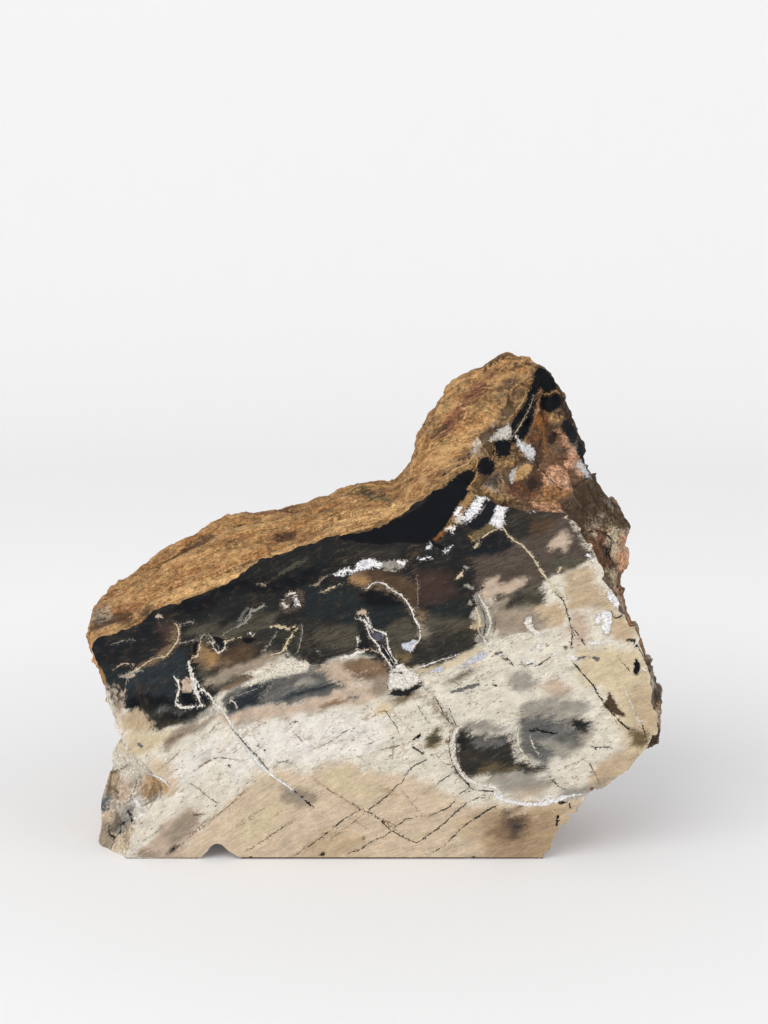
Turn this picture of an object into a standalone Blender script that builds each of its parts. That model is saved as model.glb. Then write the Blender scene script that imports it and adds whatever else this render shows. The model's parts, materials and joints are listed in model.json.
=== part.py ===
"""A free-standing piece of petrified wood: one stone with a sawn, polished front,
a sawn base that it stands on, and rough rind and broken rock everywhere else.

Metres, +Z up. The origin is under the middle of the stone, on the surface it
stands on. The polished front faces -Y.
"""
import math

import bpy
import bmesh
from mathutils import Matrix, Vector

MM = 0.001

# Driving dimensions, in millimetres.
FRONT_Y = -68.4          # plane of the polished front
SHOULDER_DEPTH = 99.0    # from the front to the shoulder behind the ridge
BACK_DEPTH = 122.0       # from the front to the rim of the back
DOME_DEPTH = 131.0       # from the front to the most bulging part of the back
BLANK_FRONT = 14.0       # rough stone in front of the saw plane, cut away
EDGE_DEPTH = 1.5         # the cage's edge ring lies just behind the saw plane
SKIN_CELL = 5.5          # spacing of the faces over the rough skin
SKIN_SHARE = 0.42        # share of those faces that its shape needs
CHAMFER = 1.6            # ground edge along the foot of the front
NOTCH_X = -96.0          # missing chip at the foot of the front
NOTCH_WIDTH = 27.0
NOTCH_HEIGHT = 9.5
NOTCH_DEPTH = 46.0

# Relief of the rough skin: size of a lump, how far it stands, and where it is.
RELIEF = (
    ("hollows", 70.0, 18.0, "behind"),
    ("broad swells", 44.0, 5.0, "skin"),
    ("lumps", 18.0, 4.0, "skin"),
    ("small breaks", 8.0, 2.0, "skin"),
)

# How far the skin swells out, in x and z, halfway along a spoke.
BREAK = (0, 0)
RIND = (-1, 5)
CREST = (8, -7)

# The cage. Each spoke runs from the edge of the polished front, (x, z), back to
# the stone's widest line, (x, depth, z), with a swell on the way.
# Clockwise from the left foot, seen from the front.
SPOKES = (
    # left foot and the broken facet above it
    ((-156, -14), (-177, 20, -14), BREAK),
    ((-153, 6), (-177, 28, 6), BREAK),
    ((-139, 31), (-177, 48, 22), BREAK),
    ((-126, 45), (-174, 58, 40), BREAK),
    ((-139, 59), (-170, 56, 55), BREAK),
    ((-152, 72), (-156, 44, 68), BREAK),
    # left end, leaning out to the tip
    ((-156, 88), (-158, 40, 88), BREAK),
    ((-166, 115), (-169, 36, 114), BREAK),
    ((-174, 137), (-181, 28, 139), RIND),
    # rind along the top
    ((-160, 141), (-177, 46, 152), RIND),
    ((-145, 145), (-168, 60, 160), RIND),
    ((-131, 158), (-150, 66, 174), RIND),
    ((-110, 167), (-124, 72, 189), RIND),
    ((-86, 177), (-97, 75, 203), RIND),
    ((-62, 188), (-72, 76, 207), RIND),
    ((-42, 196), (-44, 76, 211), RIND),
    ((-14, 207), (-12, 76, 224), RIND),
    ((10, 211), (13, 70, 226), RIND),
    # the rind climbs to the peak
    ((24, 218), (25, 60, 243), RIND),
    ((30, 223), (33, 55, 268), BREAK),
    ((35, 228), (52, 55, 293), BREAK),
    ((39, 231), (86, 58, 313), BREAK),
    ((42, 234), (104, 58, 306), CREST),
    # broken rock from the peak down the right side
    ((57, 229), (117, 61, 293), BREAK),
    ((76, 224), (130, 64, 266), BREAK),
    ((96, 221), (138, 65, 243), BREAK),
    ((116, 218), (148, 65, 226), BREAK),
    ((127, 205), (167, 63, 199), BREAK),
    ((137, 184), (161, 54, 171), BREAK),
    ((151, 160), (156, 44, 155), BREAK),
    ((165, 130), (171, 36, 124), BREAK),
    ((173, 103), (182, 30, 94), BREAK),
    ((177, 79), (180, 34, 70), BREAK),
    # right side, undercut towards the foot
    ((158, 56), (160, 42, 54), BREAK),
    ((134, 43), (138, 46, 40), BREAK),
    ((115, 24), (120, 46, 22), BREAK),
    ((106, 4), (112, 44, 2), BREAK),
    ((98, -14), (104, 44, -14), BREAK),
    # under the stone
    ((40, -14), (40, 50, -14), BREAK),
    ((-20, -14), (-20, 54, -14), BREAK),
    ((-70, -14), (-70, 54, -14), BREAK),
    ((-115, -14), (-118, 46, -14), BREAK),
)

# Behind the widest line the stone draws in towards its middle, (x, z).
MIDDLE = (-4.0, 112.0)
SHOULDER_SCALE = 0.93
BACK_SCALE = 0.70
DOME_SCALE = 0.30

PART_COLLECTION = "petrified_wood_sculpture"
CUTTER_COLLECTION = "cutters"


def clear_scene():
    for existing in list(bpy.data.objects):
        bpy.data.objects.remove(existing, do_unlink=True)


def add_collection(name):
    collection = bpy.data.collections.new(name)
    bpy.context.scene.collection.children.link(collection)
    return collection


def stone_material():
    material = bpy.data.materials.new("petrified wood")
    material.use_nodes = True
    shader = material.node_tree.nodes["Principled BSDF"]
    shader.inputs["Base Color"].default_value = (0.38, 0.27, 0.17, 1.0)
    shader.inputs["Roughness"].default_value = 0.55
    shader.inputs["Metallic"].default_value = 0.0
    return material


def drawn_in(x, z, scale):
    """A point of the widest line, drawn in towards the middle of the stone."""
    middle_x, middle_z = MIDDLE
    return (
        middle_x + (x - middle_x) * scale,
        middle_z + (z - middle_z) * scale,
    )


def spoke_points(front, widest, swell):
    """The cage points along one spoke, from the blank's front to its back."""
    front_x, front_z = front
    wide_x, wide_depth, wide_z = widest
    half_x = (front_x + wide_x) / 2 + swell[0]
    half_z = (front_z + wide_z) / 2 + swell[1]
    shoulder_x, shoulder_z = drawn_in(wide_x, wide_z, SHOULDER_SCALE)
    back_x, back_z = drawn_in(wide_x, wide_z, BACK_SCALE)
    dome_x, dome_z = drawn_in(wide_x, wide_z, DOME_SCALE)
    return (
        (front_x, -BLANK_FRONT, front_z),
        (front_x, EDGE_DEPTH, front_z),
        (half_x, wide_depth / 2, half_z),
        (wide_x, wide_depth, wide_z),
        (shoulder_x, SHOULDER_DEPTH, shoulder_z),
        (back_x, BACK_DEPTH, back_z),
        (dome_x, DOME_DEPTH, dome_z),
    )


def cage_mesh():
    """A loft through unlike rings, from the blank in front to the back."""
    bm = bmesh.new()
    columns = []
    for front, widest, swell in SPOKES:
        column = []
        for x, depth, z in spoke_points(front, widest, swell):
            place = Vector((x, FRONT_Y + depth, z)) * MM
            column.append(bm.verts.new(place))
        columns.append(column)
    for index, column in enumerate(columns):
        following = columns[(index + 1) % len(columns)]
        for ring in range(len(column) - 1):
            bm.faces.new((
                column[ring],
                column[ring + 1],
                following[ring + 1],
                following[ring],
            ))
    bm.faces.new([column[0] for column in columns])
    bm.faces.new([column[-1] for column in columns])
    bmesh.ops.recalc_face_normals(bm, faces=bm.faces)
    mesh = bpy.data.meshes.new("petrified_wood")
    bm.to_mesh(mesh)
    bm.free()
    return mesh


def mark_regions(stone):
    """Vertex groups: behind fades in past the ridge, skin fades out on the back."""
    behind = stone.vertex_groups.new(name="behind")
    skin = stone.vertex_groups.new(name="skin")
    for vertex in stone.data.vertices:
        depth = vertex.co.y / MM - FRONT_Y
        behind.add([vertex.index], float(depth > SHOULDER_DEPTH - 1.0), "REPLACE")
        skin.add([vertex.index], float(depth < DOME_DEPTH - 1.0), "REPLACE")


def add_relief(stone):
    """Breaks the flat cage faces up into lumps of several sizes."""
    mark_regions(stone)
    for name, lump_size, height, region in RELIEF:
        texture = bpy.data.textures.new(name, "CLOUDS")
        texture.noise_scale = lump_size * MM
        texture.noise_depth = 1
        displace = stone.modifiers.new(name, "DISPLACE")
        displace.texture = texture
        displace.texture_coords = "LOCAL"
        displace.mid_level = 0.5
        displace.strength = height * MM
        displace.vertex_group = region


def add_cutter(name, bm, collection):
    mesh = bpy.data.meshes.new(name)
    bmesh.ops.recalc_face_normals(bm, faces=bm.faces)
    bm.to_mesh(mesh)
    bm.free()
    cutter = bpy.data.objects.new(name, mesh)
    collection.objects.link(cutter)
    cutter.hide_render = True
    cutter.display_type = "WIRE"
    return cutter


def block(size, centre, turn=0.0):
    """A box of the given size in millimetres, turned about X."""
    bm = bmesh.new()
    place = (
        Matrix.Translation(Vector(centre) * MM)
        @ Matrix.Rotation(turn, 4, "X")
        @ Matrix.Diagonal((*(Vector(size) * MM), 1.0))
    )
    bmesh.ops.create_cube(bm, size=1.0, matrix=place)
    return bm


def chip():
    """A wedge that narrows as it runs back under the stone."""
    bm = bmesh.new()
    narrow = 0.35
    place = (
        Matrix.Translation(Vector((NOTCH_X, FRONT_Y + NOTCH_DEPTH / 2 - 1.0, 0)) * MM)
        @ Matrix.Diagonal((NOTCH_WIDTH / 2 * MM, (NOTCH_DEPTH + 2.0) * MM, NOTCH_HEIGHT * MM, 1.0))
        @ Matrix.Rotation(math.radians(-90.0), 4, "X")
    )
    bmesh.ops.create_cone(
        bm, cap_ends=True, segments=4, radius1=1.0, radius2=narrow, depth=1.0, matrix=place
    )
    return bm


def add_cutters(collection):
    wide = 600.0
    thick = 120.0
    ground_side = CHAMFER * math.sqrt(2.0)
    return (
        add_cutter("front saw cut", block((wide, thick, wide), (0, FRONT_Y - thick / 2, 150)), collection),
        add_cutter("base saw cut", block((wide, wide, thick), (0, 0, -thick / 2)), collection),
        add_cutter("foot chip", chip(), collection),
        add_cutter(
            "ground front edge",
            block((wide, ground_side, ground_side), (0, FRONT_Y, 0), math.radians(45.0)),
            collection,
        ),
    )


def add_stone():
    parts = add_collection(PART_COLLECTION)
    cutters = add_collection(CUTTER_COLLECTION)
    stone = bpy.data.objects.new("petrified_wood", cage_mesh())
    parts.objects.link(stone)
    stone.data.materials.append(stone_material())
    subdivide = stone.modifiers.new("finer faces", "SUBSURF")
    subdivide.subdivision_type = "SIMPLE"
    subdivide.levels = 2
    subdivide.render_levels = 2
    add_relief(stone)
    even_out = stone.modifiers.new("even faces", "REMESH")
    even_out.mode = "VOXEL"
    even_out.voxel_size = SKIN_CELL * MM
    thin_out = stone.modifiers.new("fewer faces", "DECIMATE")
    thin_out.ratio = SKIN_SHARE
    for cutter in add_cutters(cutters):
        cut = stone.modifiers.new(cutter.name, "BOOLEAN")
        cut.operation = "DIFFERENCE"
        cut.object = cutter
    return stone


clear_scene()
add_stone()
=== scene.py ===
import json
import math

import bmesh
import bpy
import numpy as np
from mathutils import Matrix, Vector, noise
from mathutils.geometry import delaunay_2d_cdt

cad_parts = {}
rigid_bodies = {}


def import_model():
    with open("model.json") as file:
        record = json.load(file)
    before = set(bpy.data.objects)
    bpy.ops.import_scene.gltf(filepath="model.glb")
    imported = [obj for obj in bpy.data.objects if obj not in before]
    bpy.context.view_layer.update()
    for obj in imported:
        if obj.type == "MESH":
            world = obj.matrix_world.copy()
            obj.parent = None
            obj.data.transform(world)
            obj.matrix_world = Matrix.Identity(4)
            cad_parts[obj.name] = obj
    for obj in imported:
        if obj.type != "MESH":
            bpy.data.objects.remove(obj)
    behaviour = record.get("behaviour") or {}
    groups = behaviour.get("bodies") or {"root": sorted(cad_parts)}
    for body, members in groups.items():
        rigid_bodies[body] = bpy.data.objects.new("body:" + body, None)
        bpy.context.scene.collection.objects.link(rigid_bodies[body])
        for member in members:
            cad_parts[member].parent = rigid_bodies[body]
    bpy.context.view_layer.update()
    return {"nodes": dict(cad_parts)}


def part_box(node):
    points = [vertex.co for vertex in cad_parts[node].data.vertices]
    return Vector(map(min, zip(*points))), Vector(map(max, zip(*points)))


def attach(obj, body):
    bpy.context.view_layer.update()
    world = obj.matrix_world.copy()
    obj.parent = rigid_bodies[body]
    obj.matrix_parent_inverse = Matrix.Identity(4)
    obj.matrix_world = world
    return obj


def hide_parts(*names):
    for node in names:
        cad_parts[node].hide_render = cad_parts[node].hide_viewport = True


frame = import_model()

noise.seed_set(5)    # noise_vector follows this seed; unset, it differs on every run
mm = 0.001
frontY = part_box("petrified_wood")[0][1]    # plane of the polished front

cameraSetup = {
    "distance": 0.95,    # from the polished front, metres
    "elevation": 9,      # degrees above the horizon
    "aimX": 0.006,
    "aimZ": 0.2184,
    "lens": 55.7,
}

stoneShape = {
    "blank": 7,          # mm grown in front of and under the saw cuts, then cut off
    "skinCell": 1.6,     # mm between the points of the rough skin
    "skinShare": 0.52,   # share of the skin's faces kept, fewest where it is hidden
    "frontCell": 1.45,   # mm between the points of the polished front
    "halvings": 6,              # times the long edges of the front's rim are split
    "rimSplit": 1.5,            # a rim edge longer than this many cells is split
    "rimGap": 0.62,             # cells left free between the rim and the net inside it
    "soften": 8,         # smoothing passes that take the facets off
    "groundEdge": 1.3,   # mm, ground edge along the foot of the front
    "grainTilt": 20,     # degrees, slope of the wood grain, rising to the right
    "lowGrainTilt": 33,  # degrees, the same in the lower left part
    "rindRelief": 1.3,   # strength of the fibres and pits of the rind
    "breakRelief": 0.55, # strength of the chipped facets of the broken rock
    "notch": (-98.6, 2.6),    # mm, middle of the gap in the foot, and how much higher it is cut
}


def viewPoint():
    tilt = math.radians(cameraSetup["elevation"])
    return Vector((
        cameraSetup["aimX"],
        frontY - cameraSetup["distance"] * math.cos(tilt),
        cameraSetup["aimZ"] + cameraSetup["distance"] * math.sin(tilt),
    ))


def smoothstep(low, high, value):
    t = np.clip((value - low) / (high - low), 0.0, 1.0)
    return t * t * (3.0 - 2.0 * t)


def pickOnly(piece):
    for other in list(bpy.context.selected_objects):
        other.select_set(False)
    piece.select_set(True)
    bpy.context.view_layer.objects.active = piece


def applyModifier(piece, kind, **settings):
    pickOnly(piece)
    modifier = piece.modifiers.new(kind.lower(), kind)
    for name, value in settings.items():
        setattr(modifier, name, value)
    bpy.ops.object.modifier_apply(modifier=modifier.name)


def selectFaces(piece, wanted):
    bpy.ops.object.mode_set(mode="OBJECT")
    for part in (piece.data.vertices, piece.data.edges, piece.data.polygons):
        part.foreach_set("select", [False] * len(part))
    for polygon in piece.data.polygons:
        polygon.select = wanted(polygon)
    bpy.ops.object.mode_set(mode="EDIT")
    bpy.ops.mesh.select_mode(type="FACE")


def readVertices(mesh, what):
    values = np.empty(len(mesh.vertices) * 3)
    mesh.vertices.foreach_get(what, values)
    return values.reshape(-1, 3)


def quadNormals(mesh):
    # vertex normals of a mesh of four-sided faces, the same to the last digit on every run
    corners = np.empty(len(mesh.loops), dtype=int)
    mesh.loops.foreach_get("vertex_index", corners)
    corners = corners.reshape(-1, 4)
    places = readVertices(mesh, "co")
    a, b, c, d = (places[corners[:, i]] for i in range(4))
    facing = np.cross(c - a, d - b)
    normals = np.zeros_like(places)
    for axis in range(3):
        shares = np.repeat(facing[:, axis], 4)
        normals[:, axis] = np.bincount(corners.ravel(), shares, len(places))
    return normals / np.linalg.norm(normals, axis=1)[:, None]


def copyStone():
    pickOnly(frame["nodes"]["petrified_wood"])
    bpy.ops.object.duplicate()
    stone = bpy.context.object
    stone.name = "petrifiedStone"
    bpy.ops.object.parent_clear(type="CLEAR_KEEP_TRANSFORM")
    bpy.ops.object.mode_set(mode="EDIT")
    bpy.ops.mesh.select_all(action="SELECT")
    bpy.ops.mesh.remove_doubles(threshold=0.00001)
    bpy.ops.object.mode_set(mode="OBJECT")
    stone.data.materials.clear()
    return stone


def growBlank(stone):
    # the sawn faces are pulled out, so that later relief and cuts give them clean edges
    blank = stoneShape["blank"] * mm
    pulls = (
        ((0, -1, 0), lambda c: abs(c.y - frontY) < 0.0001),
        ((0, 0, -1), lambda c: abs(c.z) < 0.0001),
        ((0, -1, -1), lambda c: c.z < 0.004 and c.y < frontY + 0.004),
    )
    for way, near in pulls:
        facing = Vector(way).normalized()
        selectFaces(stone, lambda f: f.normal.dot(facing) > 0.995 and near(f.center))
        bpy.ops.mesh.extrude_region_move(
            TRANSFORM_OT_translate={"value": tuple(blank * step for step in way)}
        )
    bpy.ops.object.mode_set(mode="OBJECT")


def rindAmount(points):
    # 1 on the bark-like rind, 0 on broken rock; points in metres, one row each
    x, y, z = points[:, 0] / mm, (points[:, 1] - frontY) / mm, points[:, 2] / mm
    crest = (x - 42) * 0.76 - (z - 234) * 0.65           # distance to the right of the crest
    crest = np.where(y > 75, crest - (y - 75) * 1.2, crest)
    ragged = np.array([noise.noise(Vector(p) / (14 * mm)) for p in points]) * 5.0
    leftOf = smoothstep(2.0, -2.0, crest + ragged)
    above = smoothstep(-3.0, 3.0, z - (62 + 0.42 * (x + 180)) + ragged)
    return leftOf * above


def rindRelief(p, along, across):
    # fibres along the grain, flakes with low edges, and pits
    fibre = noise.noise(Vector((along / 30, p.y / 3.0, across / 3.0)))
    coarse = noise.noise(Vector((along / 60, p.y / 9, across / 9)) + Vector((7, 3, 1)))
    flake = noise.fractal(p / 21, 0.9, 2.1, 3) * 2.6
    step = flake - math.floor(flake)
    flakeEdge = math.floor(flake) + min(step * 5.0, 1.0)
    pit = noise.voronoi(p / 6.5)[0][0]
    pitDepth = max(0.0, 0.34 - pit) / 0.34
    grit = noise.noise(p / 2.4)
    return fibre * 1.1 + coarse * 1.6 + flakeEdge * 0.7 - pitDepth * 1.2 + grit * 0.5


def breakRelief(p):
    # flat chips at three sizes, each tilted its own way
    total = 0.0
    for size, height in ((21.0, 0.30), (9.5, 0.30), (4.2, 0.26)):
        q = p / size + noise.noise_vector(p / (size * 1.6)) * 0.35
        centre = noise.voronoi(q)[1][0]
        tilt = noise.cell_vector(centre * 7.3) - Vector((0.5, 0.5, 0.5))
        total += (q - centre).dot(tilt) * 2.0 * size * height
        total += (noise.cell(centre * 3.1) - 0.5) * size * height * 0.35
    return total + noise.noise(p / 2.2) * 0.45


def roughen(stone):
    mesh = stone.data
    places = readVertices(mesh, "co")
    normals = quadNormals(mesh)
    rind = rindAmount(places)
    tilt = math.radians(stoneShape["grainTilt"])
    heights = np.zeros(len(places))
    notchPlace, notchRise = stoneShape["notch"]
    for index in range(len(places)):
        p = Vector(places[index]) / mm
        if p.y * mm < frontY - 0.004 or p.z < -4:
            continue
        along = p.x * math.cos(tilt) + p.z * math.sin(tilt)
        across = p.z * math.cos(tilt) - p.x * math.sin(tilt)
        share = rind[index]
        if share > 0.01:
            heights[index] += rindRelief(p, along, across) * share * stoneShape["rindRelief"]
        if share < 0.99:
            flatter = 0.4 if p.x < -110 else 1.0     # the lower left broke in smooth facets
            heights[index] += breakRelief(p) * (1.0 - share) * stoneShape["breakRelief"] * flatter
        aside = abs(p.x - notchPlace)
        notch = smoothstep(18, 10, aside) * smoothstep(15, 11, p.z)
        heights[index] -= notch * (0.8 * heights[index] + notchRise * math.exp(-(aside / 5) ** 2))
    moved = places + normals * heights[:, None] * mm
    mesh.vertices.foreach_set("co", moved.ravel())
    relief = mesh.attributes.new("relief", "FLOAT", "POINT")
    relief.data.foreach_set("value", heights)
    mesh.update()


def thinHidden(stone):
    # fewer faces behind and under the stone, where no drawn marking needs them
    group = stone.vertex_groups.new(name="hidden")
    facing = quadNormals(stone.data)[:, 1]
    for index, side in enumerate(facing):
        group.add([index], float(smoothstep(-0.35, 0.35, side)) * 0.9 + 0.1, "REPLACE")
    applyModifier(
        stone, "DECIMATE", ratio=stoneShape["skinShare"], vertex_group="hidden", vertex_group_factor=1.0
    )
    stone.vertex_groups.clear()


def sawOff(stone, place, normal, fill):
    pickOnly(stone)
    bpy.ops.object.mode_set(mode="EDIT")
    bpy.ops.mesh.select_all(action="SELECT")
    bpy.ops.mesh.bisect(
        plane_co=place, plane_no=normal, use_fill=fill, clear_outer=True, threshold=0.00001
    )
    bpy.ops.object.mode_set(mode="OBJECT")


def nextOpenEdge(edge, vert):
    # round the corner from one open edge to the next, over the faces between them
    face = edge.link_faces[0]
    for _ in range(len(vert.link_edges)):
        edge = next((e for e in face.edges if vert in e.verts and e is not edge), edge)
        if len(edge.link_faces) != 2:
            break
        face = next(f for f in edge.link_faces if f is not face)
    return edge


def openLoops(bm):
    # the open edges as closed runs of vertices
    loops = []
    done = set()
    for start in bm.edges:
        if start in done or not start.is_boundary:
            continue
        edge = start
        run = [start.verts[0]]
        while edge not in done:
            done.add(edge)
            run.append(edge.other_vert(run[-1]))
            edge = nextOpenEdge(edge, run[-1])
        loops.append(run[:-1])
    return loops


def fillFront(stone):
    # the polished front: an even net of small triangles inside the sawn outline
    cell = stoneShape["frontCell"] * mm
    bm = bmesh.new()
    bm.from_mesh(stone.data)
    for _ in range(stoneShape["halvings"]):
        longest = stoneShape["rimSplit"] * cell
        longEdges = [e for e in bm.edges if e.is_boundary and e.calc_length() > longest]
        bmesh.ops.subdivide_edges(bm, edges=longEdges, cuts=1)
    rims = openLoops(bm)
    print("open rims:", [len(rim) for rim in rims])
    for rim in sorted(rims, key=len)[-1:]:
        outline = np.array([(v.co.x, v.co.z) for v in rim])
        low, high = outline.min(0), outline.max(0)
        rows = np.arange(low[1] + cell / 2, high[1], cell * math.sqrt(3) / 2)
        inside = []
        for number, height in enumerate(rows):
            columns = np.arange(low[0] + (number % 2) * cell / 2, high[0], cell)
            inside.extend((c, height) for c in columns)
        inside = np.array(inside).reshape(-1, 2)
        distance = np.full(len(inside), np.inf)
        for start in range(0, len(outline), 64):
            part = outline[start:start + 64]
            gap = np.linalg.norm(inside[:, None, :] - part[None, :, :], axis=2)
            distance = np.minimum(distance, gap.min(1))
        inside = inside[distance > cell * stoneShape["rimGap"]]
        places = [Vector(p) for p in outline] + [Vector(p) for p in inside]
        result = delaunay_2d_cdt(places, [], [list(range(len(outline)))], 1, 1e-9)
        points, faces, sources = result[0], result[2], result[3]
        verts = []
        for point, source in zip(points, sources):
            known = [s for s in source if s < len(outline)]
            verts.append(rim[known[0]] if known else bm.verts.new((point.x, frontY, point.y)))
        for face in faces:
            corners = [verts[i] for i in face]
            if len(set(corners)) == 3:
                made = bm.faces.new(corners)
                made.normal_update()
                if made.normal.y > 0:
                    made.normal_flip()
    # the cuts can leave a gap of a few edges at a corner
    gaps = [e for e in bm.edges if e.is_boundary]
    bmesh.ops.holes_fill(bm, edges=gaps, sides=0)
    print("gaps closed:", len(gaps), "edges")
    bmesh.ops.recalc_face_normals(bm, faces=bm.faces)
    bm.to_mesh(stone.data)
    bm.free()


def modelStone():
    stone = copyStone()
    growBlank(stone)
    applyModifier(stone, "REMESH", mode="VOXEL", voxel_size=stoneShape["skinCell"] * mm)
    applyModifier(stone, "SMOOTH", factor=0.5, iterations=stoneShape["soften"])
    print("stone blank:", len(stone.data.vertices), "vertices")
    roughen(stone)
    thinHidden(stone)
    print("stone roughened:", len(stone.data.vertices), "vertices")
    sawOff(stone, (0, 0, 0), (0, 0, -1), True)
    ground = stoneShape["groundEdge"] * mm
    sawOff(stone, (0, frontY + ground, 0), (0, -1, -1), True)
    sawOff(stone, (0, frontY, 0), (0, -1, 0), False)
    fillFront(stone)
    return stone


stone = modelStone()
print("stone sawn:", len(stone.data.polygons), "faces")

# the finishes of the wood, each with its colour and how streaked and how speckled it is
tones = {
    "ink": ((9, 13, 19), 0.05, 0),
    "pitch": ((21, 25, 30), 0.35, 0),
    "coal": ((31, 32, 32), 0.8, 0),
    "slate": ((38, 45, 50), 0.5, 0),
    "deep": ((31, 37, 39), 0.45, 0),
    "soot": ((48, 46, 41), 0.9, 0),
    "olive": ((76, 72, 61), 1.0, 0),
    "umber": ((80, 63, 47), 0.5, 0),
    "plum": ((62, 47, 42), 0.3, 0),
    "steel": ((90, 97, 103), 0.4, 0),
    "smoke": ((98, 98, 95), 0.8, 0),
    "dusk": ((88, 88, 100), 0.2, 0),
    "ash": ((150, 145, 134), 0.6, 0),
    "mauve": ((83, 72, 64), 0.7, 0),
    "bark": ((124, 101, 78), 0.45, 0),
    "taupe": ((152, 138, 120), 0.7, 0.2),
    "amber": ((156, 122, 80), 0.4, 0),
    "honey": ((188, 156, 118), 0.5, 0.2),
    "rust": ((126, 76, 42), 0.4, 0),
    "ember": ((166, 106, 50), 0.4, 0),
    "salmon": ((212, 160, 124), 0.5, 0),
    "rose": ((192, 171, 151), 0.6, 0.2),
    "sand": ((206, 186, 160), 0.9, 0.15),
    "straw": ((205, 188, 156), 0.5, 0.3),
    "buff": ((190, 168, 138), 0.8, 0.2),
    "dun": ((164, 139, 110), 0.8, 0),
    "cream": ((217, 209, 193), 0.4, 1),
    "chalk": ((224, 218, 208), 0.25, 1),
    "snow": ((230, 228, 229), 0.05, 0),
    "frost": ((196, 198, 208), 0.2, 0),
    "gold": ((190, 148, 98), 0.5, 0),
    "tawny": ((168, 120, 74), 0.5, 0),
    "moss": ((110, 95, 66), 0.5, 0),
    "wheat": ((214, 172, 118), 0.5, 0),
    "maroon": ((124, 80, 61), 0.5, 0),
    "bistre": ((58, 42, 34), 0.4, 0),
}


def toneColour(name):
    share = np.array(tones[name][0]) / 255.0
    return np.where(share <= 0.04045, share / 12.92, ((share + 0.055) / 1.055) ** 2.4)


# Places of the markings are millimetres across and up the polished plane. A row of pairs
# is the outline of an area. A row of threes is a line with its half width at each point.
# The number before it is how far the edge runs out, or the half width of a plain line.

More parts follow.
